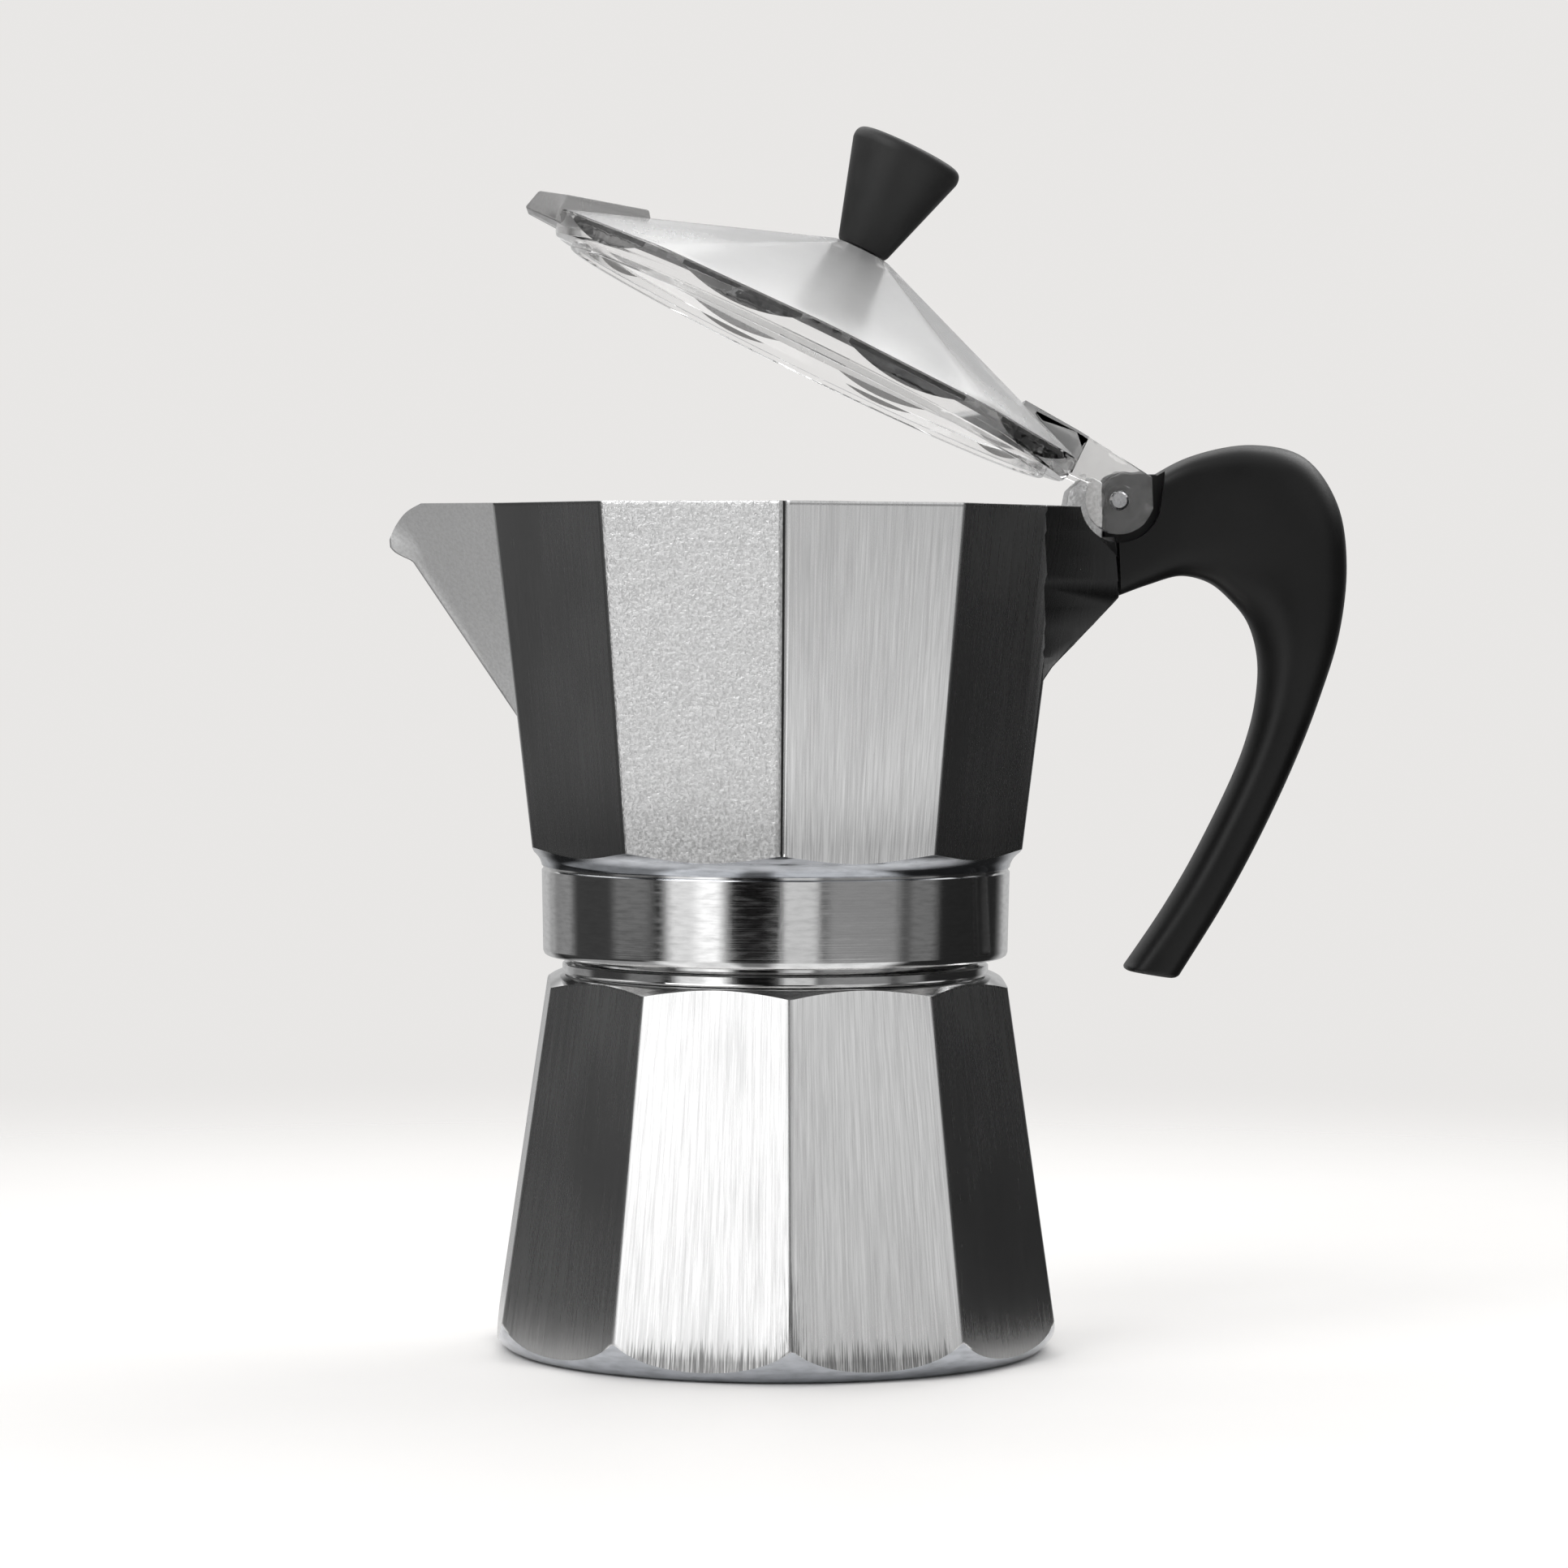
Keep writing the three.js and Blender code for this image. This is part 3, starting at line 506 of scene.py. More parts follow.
def cast_aluminium():
    """Insides and undersides as they leave the mould: dull, with flow marks and specks."""
    f = Finish("cast_aluminium", Metallic=1.0)
    flow = f.noise(f.scaled(1, 1, 0.6), scale=170, detail=4, roughness=0.6)
    specks = f.noise(f.place, scale=1500, detail=2)
    tint = f.blend(f.remap(flow, 0.35, 0.68, 0, 1), grey(0.5), grey(0.68))
    roughness = f.plus(f.remap(flow, 0.3, 0.7, 0.38, 0.5), f.remap(specks, 0.5, 0.7, 0, 0.08))
    height = f.plus(f.times(flow, 0.6), f.times(specks, 0.3))
    return f.done(tint, roughness, f.bump(height, 0.07))


def black_nylon(name, tone, rough):
    """Moulded nylon: a fine leathery grain, faint flow clouds and slightly polished edges."""
    f = Finish(name, Specular_IOR_Level=0.3)
    grain = f.noise(f.place, scale=2600, detail=2)
    clouds = f.noise(f.place, scale=75, detail=3)
    tint = f.blend(f.remap(clouds, 0.35, 0.68, 0, 1), grey(tone * 0.85), grey(tone * 1.35))
    roughness = f.remap(clouds, 0.3, 0.7, rough - 0.05, rough + 0.05)
    roughness = f.plus(roughness, f.remap(grain, 0.4, 0.7, 0, 0.05))
    roughness = f.minus(roughness, f.times(f.worn(), 0.07))
    height = f.plus(f.times(grain, 0.35), f.times(clouds, 0.5))
    return f.done(tint, roughness, f.bump(height, 0.03))


def clear_plastic(name, tone=0.97, haze=0.02, wave=55, depth=0.12, clear=1.0, index=1.3):
    """Clear moulded plastic: slight waves, hairline wear, and a haze where the mould was left matt."""
    f = Finish(name, Transmission_Weight=clear, IOR=index, Specular_IOR_Level=0.5)
    waves = f.noise(f.place, scale=wave, detail=2)
    hairs = f.noise(f.scaled(900, 60, 400), detail=3, distortion=1.2)
    tint = f.blend(f.remap(waves, 0.35, 0.65, 0, 1), grey(tone * 0.96), grey(tone))
    roughness = f.remap(hairs, 0.4, 0.9, haze, haze + 0.05)
    roughness = f.plus(roughness, f.remap(waves, 0.4, 0.7, 0, haze))
    return f.done(tint, roughness, f.bump(waves, depth))


def sheet_aluminium():
    """Pressed and spun sheet: circular draw marks and a satin face."""
    f = Finish("sheet_aluminium", Metallic=1.0)
    rings = f.noise(f.wrapped(30, 2600), detail=3)
    stains = f.noise(f.place, scale=120, detail=3)
    tint = f.blend(f.remap(stains, 0.35, 0.7, 0, 1), grey(0.78), grey(0.62, 0.01))
    return f.done(tint, f.remap(rings, 0.35, 0.65, 0.3, 0.42), f.bump(rings, 0.015))


def small_metal(name, colour, roughness):
    """Machined small parts: fine tool marks with a darker film in places."""
    f = Finish(name, Metallic=1.0)
    marks = f.noise(f.place, scale=3000, detail=3)
    film = f.noise(f.place, scale=400, detail=3)
    darker = tuple(c * 0.72 for c in colour[:3]) + (1,)
    tint = f.blend(f.remap(film, 0.4, 0.72, 0, 1), colour, darker)
    return f.done(tint, f.remap(marks, 0.3, 0.7, roughness - 0.05, roughness + 0.1), f.bump(marks, 0.008))


def soft_material(name, colour, roughness, grain_scale):
    """Rubber and fibre: a matt body with grain and uneven colour."""
    f = Finish(name, Specular_IOR_Level=0.35)
    grain = f.noise(f.place, scale=grain_scale, detail=4)
    clouds = f.noise(f.place, scale=150, detail=2)
    darker = tuple(c * 0.7 for c in colour[:3]) + (1,)
    tint = f.blend(f.remap(clouds, 0.35, 0.7, 0, 1), colour, darker)
    return f.done(tint, f.remap(grain, 0.3, 0.7, roughness - 0.06, roughness + 0.1), f.bump(grain, 0.04))


BRUSHED = brushed_aluminium("brushed_aluminium")
BRUSHED_FOOT = brushed_aluminium("brushed_boiler", foot=True)
# The bracket's aluminium is toned nearly black: painted shade, standing in for the dark surroundings that it
# mirrors
BRACKET_PAINTED_DARK = brushed_aluminium("brushed_bracket_painted_shade", 0.16)
BLASTED = blasted_aluminium("blasted_aluminium", 0.68, 0.88, 0.3, 0.26)
SPOUT = blasted_aluminium("cast_spout", 0.62, 0.7, 0.5, 0.06)
TURNED = turned_aluminium("turned_aluminium", grey(0.84), grey(0.7))
# A darker, bluish copy of the turned finish: painted shade and a painted reflection of the shadowed floor, on
# the base edge and on the cone above the collar
TURNED_PAINTED_SHADE = turned_aluminium("turned_base_painted_shade", (0.52, 0.54, 0.575, 1), (0.4, 0.415, 0.44, 1))
CAST = cast_aluminium()
NYLON = black_nylon("black_nylon", 0.005, 0.42)
KNOB_NYLON = black_nylon("knob_nylon", 0.022, 0.5)
CLEAR = clear_plastic("clear_plastic")
CLEAR_MATT = clear_plastic("clear_matt", haze=0.14, clear=0.62)
# Clear plastic tinted almost black: painted reflection in the lid's windows and painted shade in the boss
CLEAR_PAINTED_DARK = clear_plastic("clear_windows_painted_dark", tone=0.06, haze=0.04, wave=260, depth=0.5)
CLEAR_ARM = clear_plastic("clear_arm", tone=0.9, haze=0.04, wave=150, depth=1.6, clear=0.94, index=1.36)
# A greyed copy of the clear plastic for the plate at the hinge: painted shade
CLEAR_PLATE_PAINTED_GREY = clear_plastic("clear_plate_painted_grey", tone=0.62, haze=0.2, clear=0.55)
# A darker copy of the clear plastic for the cover over the spout: painted shade
CLEAR_HOOD_PAINTED_GREY = clear_plastic("clear_hood_painted_grey", tone=0.42, haze=0.14, clear=0.7)
# Black nylon laid in the front edge's groove on the aluminium: painted shade
GROOVE_PAINTED_SHADE = black_nylon("groove_painted_black", 0.02, 0.6)
SHEET = sheet_aluminium()
STEEL = small_metal("steel", (0.62, 0.62, 0.63, 1), 0.22)
BRASS = small_metal("brass", (0.72, 0.52, 0.23, 1), 0.26)
SILICONE = soft_material("silicone", (0.78, 0.77, 0.73, 1), 0.5, 900)
FIBRE = soft_material("fibre", (0.3, 0.045, 0.03, 1), 0.75, 1600)


# ---- Boiler ----


def boiler_corner(z):
    """The distance from the axis to the boiler's ten corners at a height."""
    return BOILER_BASE_CORNER - (BOILER_BASE_CORNER - BOILER_TOP_CORNER) * z / SHOULDER_Z


def boiler():
    """The boiler's outside and inside as one skin, with its thread and the hole for the valve."""
    bottom = [(AXIS, 0.7), (30, 0.7), (33, 0), (41.6, 0)]
    base = [*bezier((43, 0.2), (45.6, 1.6), (46.5, 5.8), 16), (50, 14)]
    shoulder = [(34.4, 61), *bezier((34.4, 61), (35.6, 60.8), (36.8, 59.9), 6)[1:], (38.5, 58.9), (50, 52.8)]
    neck = [(34.4, 62.1), (34.2, 62.3), (33, 62.5), (32.8, 62.8), (32.8, NECK_TOP - 0.5), (32.3, NECK_TOP)]
    inside = [
        (29.9, NECK_TOP), (29.5, NECK_TOP - 0.4), (29.5, 59), (34.2, 54), (41.4, 4.6), (39.4, 2.6),
        (AXIS, 2.6),
    ]
    base_pieces, shoulder_pieces = 6, 8
    columns = []
    for angle in COLUMNS:
        low = trimmed(base, angle, boiler_corner, base_pieces)
        high = trimmed(shoulder, angle, boiler_corner, shoulder_pieces)[::-1]
        side = [(side_radius(angle, boiler_corner(z)), z) for z in (low[-1][1] + 0.4, high[0][1] - 0.4)]
        columns.append([*bottom, *low, *side, *high, *neck, *inside])
    first_side = len(bottom) + base_pieces
    after_side = first_side + 3
    first_inside = after_side + shoulder_pieces + len(neck) + 1

    def finish_at(ring, column):
        # the base edge takes the darker turned copy: painted shade
        if ring < first_side:
            return TURNED_PAINTED_SHADE
        if ring < after_side:
            return BRUSHED_FOOT
        return TURNED if ring < first_inside else CAST

    pot = loft("boiler_cast", rings_of(columns), finish_at=finish_at)
    cut(pot, valve_hole())
    absorb(pot, screw_ridge("neck_thread", 32.5, 34, 65.2, 2.2, TURNED))
    pot.data.transform(Matrix.Rotation(BOILER_TURN, 4, "Z"))
    return smooth(pot)


def valve_hole():
    """The hole for the safety valve, square to a side at the back."""
    angle = VALVE_SIDE * SIDE
    lean = math.atan((BOILER_BASE_CORNER - BOILER_TOP_CORNER) * FLAT / SHOULDER_Z)
    side = boiler_corner(VALVE_Z) * FLAT
    middle = Vector(around(angle, 1, 0)) * side + Vector((0, 0, VALVE_Z))
    turn = Matrix.Rotation(angle - math.pi / 2, 4, "Z") @ Matrix.Rotation(math.pi / 2 - lean, 4, "Y")
    hole = turned("valve_hole", [(0, -8), (4, -8), (4, 4), (0, 4)], 32, BRUSHED_FOOT)
    hole.data.transform(Matrix.Translation(middle * MM) @ turn)
    return hole


# ---- Upper chamber ----


def chamber_corner(z):
    """The distance from the axis to the upper chamber's ten corners at a height."""
    return RIM_CORNER - CHAMBER_SLOPE * (RIM_Z - z)


def chamber_wall():
    """Collar, ten-sided wall and inside as one skin."""
    under = [
        (AXIS, 80.7), (4.2, 80.7), (26.5, 79.5), (29.3, 79.5), (29.3, 78.5), (33.2, 78.5), (33.2, 75.4),
        (34.6, 75), (34.6, COLLAR_BOTTOM + 0.7), (35.3, COLLAR_BOTTOM),
    ]
    collar = [
        (36.9, COLLAR_BOTTOM), (37.3, COLLAR_BOTTOM + 0.25), (37.5, COLLAR_BOTTOM + 0.7),
        (37.53, COLLAR_BOTTOM + 1.1), (COLLAR_RADIUS - 0.02, 76.8), (COLLAR_RADIUS, 77.2),
        (COLLAR_RADIUS - 0.25, 77.5), (COLLAR_RADIUS - 0.25, 77.8),
    ]
    cone = [*bezier((COLLAR_RADIUS, COLLAR_TOP), (COLLAR_RADIUS + 0.4, 80.6), (43, 82), 16), (52, 84.6)]
    inside = [
        (43.4, RIM_Z), (43.05, RIM_Z - 0.1), (42.95, RIM_Z - 0.4), (36.4, FLOOR_Z + 2), (35.4, FLOOR_Z + 0.4),
        (34.4, FLOOR_Z), (AXIS, FLOOR_Z),
    ]
    rim = [(RIM_Z - 0.7, 0), (RIM_Z - 0.2, 0), (RIM_Z - 0.06, 0.06), (RIM_Z, 0.2)]
    cone_pieces = 8
    groove_depth, groove_half = 0.65, math.radians(1)
    columns = []
    for angle in COLUMNS:
        cone_part = trimmed(cone, angle, chamber_corner, cone_pieces)
        groove = groove_depth * max(0, 1 - min(angle, 2 * math.pi - angle) / groove_half)
        levels = [(cone_part[-1][1] + 0.4, 0), *rim]
        wall = [(side_radius(angle, chamber_corner(z)) - inset - groove, z) for z, inset in levels]
        columns.append([*under, *collar, *cone_part, *wall, *inside])
    first_collar = len(under) - 1
    first_side = len(under) + len(collar) + cone_pieces
    rim_top = first_side + len(rim)
    blasted_side = range((SIDES - 1) * len(COLUMN_OFFSETS), SIDES * len(COLUMN_OFFSETS))

    def finish_at(ring, column):
        """The front edge is a groove painted black as its shade, and the side to its left is blasted instead
        of brushed.
        """
        if first_side <= ring < rim_top:
            if column in (0, len(COLUMNS) - 1):
                return GROOVE_PAINTED_SHADE
            return BLASTED if column in blasted_side else BRUSHED
        # the cone above the collar takes the darker turned copy: painted shade
        if first_side - cone_pieces - 1 <= ring < first_side:
            return TURNED_PAINTED_SHADE
        return TURNED if first_collar <= ring <= rim_top else CAST

    return loft("chamber_wall", rings_of(columns), finish_at=finish_at)


# The spout starts as a point on its side and leans outwards. Its beak is pairs of a height and how far out.
SPOUT_BOTTOM = 101
SPOUT_KEEL = 41.3
SPOUT_SLOPE = 0.679
SPOUT_HALF = 14.2
BEAK = [(126.8, 58.8), (127.4, 60.2), (127.8, 61), (128.3, 61.8), (129, 62.4), (130.2, 62.5), (RIM_Z, 62.5)]
SPOUT_LEVELS = [113, 120, *[126.2 + 0.4 * i for i in range(11)], 132, 134, RIM_Z]


def spout_level(z, wall):
    """One level of the spout, grown inwards by wall: a V with a thin beak at its point."""
    side = chamber_corner(z) * FLAT - 0.6
    half = max(0.7, SPOUT_HALF * (z - SPOUT_BOTTOM) / (RIM_Z - SPOUT_BOTTOM) - 1.15 * wall)
    keel = SPOUT_KEEL + SPOUT_SLOPE * (z - SPOUT_BOTTOM) - 1.6 * wall
    nose = keel
    for (low, out), (high, further) in zip(BEAK, BEAK[1:]):
        if low <= z <= high:
            nose = max(keel, out + (further - out) * (z - low) / (high - low) - 1.6 * wall)
    before, bend = (side + share * (keel - side) for share in (0.82, 0.88))
    flank = max(0.66, 0.13 * half)
    tip = [(nose - 0.6 * (1 - math.sin(a)), 0.6 * math.cos(a)) for a in (0, 0.5, 1, 1.35)]
    tip = [(max(x, bend), min(y, flank)) for x, y in tip]
    start = 34 if wall else side - 1.2
    return [(start, half), (side, half), (before, flank + 0.06 * half), (bend, flank), *tip]


def spout_rings(levels, wall):
    return [[(-x, y, z) for x, y in mirrored(spout_level(z, wall))] for z in levels]


def spout():
    """The outside of the spout, with its lip sloping down to the beak."""
    levels = [SPOUT_BOTTOM, 106, *SPOUT_LEVELS]
    body = loft("spout", spout_rings(levels, 0), SPOUT)
    lip = through([(-57.2, RIM_Z), (-59.7, 134.6), (-61.5, 132.4), (-62.5, 130.2)], 5)
    above = [*lip, (-66.5, 129.8), (-66.5, 140), (-57.2, 140)]
    return cut(body, extruded("above_lip", above, -FAR, FAR, finish=SPOUT))


def channel():
    """The room inside the spout, open upwards."""
    rings = spout_rings(SPOUT_LEVELS, 2.2)
    rings.append([(x, y, RIM_Z + 2) for x, y, _ in rings[-1]])
    return loft("channel", rings, CAST)


def column():
    """The column that the coffee rises through, closed at the top, with a hole to each side."""
    foot = bezier((9.8, FLOOR_Z + 0.2), (7.6, FLOOR_Z + 2), (7, FLOOR_Z + 9), 8)
    skin = turned("column", [
        (0, FLOOR_Z - 0.8), (10.5, FLOOR_Z - 0.8), *foot,
        (5.4, 120), *bezier((5.4, 120), (5.2, 121.8), (3.6, 122), 5)[1:], (0, 122),
    ], 64, CAST)
    bore = turned("bore", [(0, FLOOR_Z + 1), (4.2, FLOOR_Z + 1), (3.1, 118), (0, 119.6)], 32, CAST)
    return cut(skin, bore, bar("column_holes", Vector((0, 0, 115.5)), 2, -8, 8, 32))


def bracket():
    """The wedge on the chamber's side, with the web and the thin tongue that carry the pin."""
    start = 42  # how far out it leaves the chamber's flat sides
    inner = 38  # how far in it is carried on
    side_angle = 1.5 * SIDE
    rings = []
    for z in range(104, 137, 4):
        half = (chamber_corner(z) * FLAT - start * math.sin(side_angle)) / math.cos(side_angle) - 0.1
        inner_half = half + (half - BRACKET_HALF) * (start - inner) / (BRACKET_END - start)
        rings.append([(x, y, z) for x, y in mirrored([(inner, inner_half), (BRACKET_END, BRACKET_HALF)])])
    side = [(37, RIM_Z), (53.6, RIM_Z), (54.5, 121.5), (43.6, 110.4), (41.6, 107.4), (37, 105)]
    # the wedge's nearly black aluminium is painted shade
    wedge = loft("wedge", rings, BRACKET_PAINTED_DARK)
    keep(wedge, extruded("wedge_side", side, -25, 25, finish=BRACKET_PAINTED_DARK))
    soften(wedge, 0.9, 30, 3)
    handle_room = keep(
        extruded("room", [(51.9, 128), (60, 128), (60, 150), (51.9, 150)], -FAR, FAR),
        bar("pocket", PIN, EAR_ROOM, -FAR, FAR),
    )
    cut(
        wedge,
        bar("ear_pocket", PIN, EAR_ROOM, EAR_INSIDE, FAR, finish=BLASTED),
        bar("ear_pocket", PIN, EAR_ROOM, -FAR, -EAR_INSIDE, finish=BLASTED),
        handle_room,
    )
    web = extruded("web", [
        (44, 128), (51.9, 128), (51.9, 139.8), (50.4, 140.7), (48.6, 140.4), (46.7, 138.6), (46.2, 136),
        (44, 135.5),
    ], -BETWEEN_EARS, BETWEEN_EARS, finish=BLASTED)
    soften(web, 0.3)
    tongue = extruded("tongue", [
        (47, 124.4), (66, 126.6), (66, 133.4), (58, 135), (50, 139), (47, 136),
    ], -TONGUE_HALF, TONGUE_HALF, finish=CAST)
    join(wedge, web, tongue, bar("eye", PIN, 4.2, -TONGUE_HALF, TONGUE_HALF))
    room_inside = turned("inside", [(0, 90), (37.4, 90), (43.9, 136.4), (43.9, 145), (0, 145)], 96)
    return cut(wedge, bar("pin_hole", PIN, PIN_BORE, -10, 10, 32), room_inside)


def upper_chamber():
    """The chamber with its spout, bracket, column and the thread inside its collar."""
    pot = chamber_wall()
    join(pot, spout())
    cut(pot, channel())
    join(pot, bracket())
    return smooth(absorb(pot, column(), screw_ridge("collar_thread", 34.9, 33.35, 63.9, 3, TURNED)))


# ---- Handle ----

# Inner x and z, outer x and z, half width, and how square the section is, from the bracket to the hook's end
HOOK = [
    (54.9, 121.8, 54.2, 136.6, 9, 7),
    (59.5, 123.5, 60.6, 141.1, 9, 6),
    (65, 125, 67.5, 144.6, 9, 4.5),
    (69.8, 124, 76.5, 146.2, 9, 3.4),
    (73.4, 121.1, 85, 144.2, 8.8, 2.8),
    (76.2, 117.5, 90.4, 136.8, 8.5, 2.6),
    (77.7, 112.5, 92, 127, 8.1, 2.5),
    (77.8, 107, 90.9, 116, 7.7, 2.5),
    (76.6, 100.3, 87.8, 105.5, 7.3, 2.5),
    (73.8, 92.4, 83.8, 95, 7, 2.5),
    (68.1, 80.6, 78.4, 83.2, 6.8, 2.5),
    (62.6, 71, 72.6, 72.3, 6.8, 2.6),
    (56.2, 61.4, 65, 60, 6.6, 3),
]


def hook_ring(station, grow=1.0):
    """A squarish oval section, grown about its middle."""
    inner_x, inner_z, outer_x, outer_z, half, square = station
    middle = Vector(((inner_x + outer_x) / 2, 0, (inner_z + outer_z) / 2))
    reach = Vector((outer_x, 0, outer_z)) - middle
    steps = 56
    ring = []
    for i in range(steps):
        angle = 2 * math.pi * i / steps
        circle = (math.cos(angle), math.sin(angle))
        out, side = (math.copysign(abs(v) ** (2 / square), v) * grow for v in circle)
        ring.append(middle + reach * out + Vector((0, half * side, 0)))
    return ring


def hook():
    """The whole handle before anything is cut from it, with a rounded end."""
    stations = through(HOOK, 8)
    rings = [hook_ring(station) for station in stations]
    end, before = (sum(ring, Vector()) / len(ring) for ring in (rings[-1], rings[-3]))
    onwards = (end - before).normalized()
    end_depth = 0.85
    rings[-1] = [p - onwards * end_depth for p in rings[-1]]
    for depth, grow in ((0.35, 0.985), (0.7, 0.93), (end_depth, 0.86)):
        rings.append([p - onwards * (end_depth - depth) for p in hook_ring(stations[-1], grow)])
    return loft("hook", rings, NYLON)


def ear_room(low, high):
    """The room that one ear of the lid sweeps, opened upwards."""
    mouth = extruded("mouth", [
        (PIN.x - 12, PIN.z - 1.5), (PIN.x + 6.65, PIN.z - 0.5), (PIN.x + 7.5, PIN.z + 5),
        (PIN.x + 8.4, PIN.z + 12), (PIN.x - 12, PIN.z + 12),
    ], low, high)
    return join(mouth, bar("round", PIN, EAR_ROOM, low, high))


def handle():
    """The hook with cheeks between the lid's ears and a slot for the bracket's tongue."""
    body = cut(hook(), ear_room(EAR_INSIDE, FAR), ear_room(-FAR, -EAR_INSIDE))
    cheeks = extruded("cheeks", [
        (52.3, 128), (52.3, 139.2), (53.2, 140.6), (54.7, 141.2), (60.6, 141.3), (66, 139), (66, 128),
    ], -BETWEEN_EARS, BETWEEN_EARS, finish=NYLON)
    join(body, soften(cheeks, 0.4))
    slot_sides = (-SLOT_HALF, SLOT_HALF)
    slot = extruded("slot", [
        (46, 124), (66.4, 126.2), (66.4, 133.8), (59, 135.6), (59, 138), (46, 142),
    ], *slot_sides)
    join(slot, bar("eye_room", PIN, 4.65, *slot_sides))
    join(slot, extruded("slot_top", [(46, 136), (PIN.x, 136), (PIN.x, 150), (46, 150)], *slot_sides))
    front = extruded("front", [(48, 115), (55.25, 115), (54.25, 131.2), (48, 131.2)], -FAR, FAR)
    return smooth(cut(body, slot, front, bar("pin_hole", PIN, PIN_BORE, -FAR, FAR, 32)))


# ---- Lid and knob, made closed and then opened ----


def opened(obj):
    """Turns a piece made with the lid closed about the pin."""
    place = PIN * MM
    to_pin, back = Matrix.Translation(-place), Matrix.Translation(place)
    obj.data.transform(back @ Matrix.Rotation(LID_OPEN, 4, "Y") @ to_pin)
    return obj


def lid_shell():
    """The clear ten-sided pyramid with its round seat, and a window where each side cuts the turned wall."""
    crease, top, seat, bottom = 139.6, 155.3, 136.2, 135.2
    under = [
        (AXIS, 152.3), (7, 152.3), (42.9, 138.8), (40.9, 137.2), (40.9, bottom + 0.2), (41.1, bottom),
        (42.1, bottom), (42.3, bottom + 0.2), (42.3, seat),
    ]
    wall_foot, wall_lean = 45.3, 1.645
    wall_pieces = 3
    window = len(under) + wall_pieces
    columns = []

    def finish_at(ring, column):
        """The flat windows under the crease are painted dark, a painted reflection of dark surroundings, and
        the sloping panels matt.
        """
        share = COLUMN_OFFSETS[column % len(COLUMN_OFFSETS)] / (360 / SIDES)
        if ring == window and 0.12 < share < 0.86:
            return CLEAR_PAINTED_DARK
        return CLEAR_MATT if ring >= window + 2 else CLEAR

    for angle in COLUMNS:
        reach = min(side_radius(angle, 47.9, 0.6), 47.4)
        meeting = min(reach, 47.15)
        slope = [(wall_foot, seat), (meeting, seat + (meeting - wall_foot) * wall_lean)]
        wall = [along(slope, i / wall_pieces) for i in range(wall_pieces + 1)]
        edge = [
            (reach, crease - 0.25), (reach - 0.2, crease + 0.08), (reach - 0.7, crease + 0.27),
            (side_radius(angle, 5.3, 0.5), top - 0.13), (side_radius(angle, 4.9, 0.5), top), (AXIS, top),
        ]
        columns.append([*under, *wall, *edge])
    return loft("lid_clear", rings_of(columns), finish_at=finish_at)


def lid_arm(low, high):
    """An arm from the lid's panels to the pin, with a round ear."""
    ear = 5.45
    angles = [math.pi * (1 + i / 24) for i in range(25)]
    outline = [
        (36, 141.7), (43, 139.2), (45.4, 137.2), (PIN.x - ear, PIN.z + 0.4),
        *[(PIN.x + ear * math.cos(a), PIN.z + ear * math.sin(a)) for a in angles],
        (PIN.x + ear, PIN.z + 1.2), (PIN.x + 3.1, PIN.z + 5.65), (43.6, 144.2), (36, 144.4),
    ]
    return soften(extruded("arm", outline, low, high, finish=CLEAR_ARM), 0.7, segments=3)


def ear_ring(low, high):
    """The raised ring round the pin."""
    ring = bar("ear_ring", PIN, 3.6, low, high, finish=CLEAR_ARM)
    return cut(ring, bar("ear_ring_bore", PIN, 2.5, low - 1, high + 1))


def lid():
    """The pyramid with its boss, the cover over the spout, and the arms and plate at the hinge."""
    shell = lid_shell()
    # the plate's grey is painted shade
    plate = extruded("plate", [
        (34, 142.2), (43, 139.2), (45.7, 137.6), (45.7, 144), (43.6, 144.2), (34, 144.8),
    ], -9, 9, finish=CLEAR_PLATE_PAINTED_GREY)
    # the cover's grey is painted shade
    cover = extruded("spout_cover", [
        (-51.3, 137.6), (-50.4, 140.9), (-33.2, 145.6), (-32.2, 144.2), (-43.6, 138.4), (-44.6, 137.6),
    ], -20, 20, finish=CLEAR_HOOD_PAINTED_GREY)
    plan = mirrored([(-51.6, 7), (-46, 11), (-30, 11)])
    keep(cover, extruded("cover_plan", plan, 130, 150, "xy", CLEAR_HOOD_PAINTED_GREY))
    join(shell, soften(cover, 0.3), boss(), plate, lid_arm(6.3, 9), lid_arm(-9, -6.3))
    join(shell, ear_ring(8.8, 9.3), ear_ring(-9.3, -8.8))
    bore = turned("boss_bore", [(0, 148), (1.9, 148), (1.9, 150.8), (3, 150.8), (3, 160), (0, 160)], 48)
    return opened(smooth(cut(shell, bore, bar("pin_hole", PIN, PIN_BORE, -FAR, FAR, 32)), 25))


def boss():
    """The seat of the knob's screw, painted dark as shade where it is solid, in a skirt."""
    bottom, skirt = 149.2, 143.5
    profile = [
        (0, bottom), (4.5, bottom), (4.7, bottom - 0.2), (4.7, skirt + 0.2), (4.9, skirt), (6, skirt),
        (6.2, skirt + 0.2), (6.2, bottom), (6.2, 154.3), (0, 154.3),
    ]

    def finish_at(ring, column):
        in_skirt = 2 <= ring < 7
        return CLEAR_MATT if in_skirt else CLEAR_PAINTED_DARK

    return turned("boss", profile, 64, finish_at=finish_at)


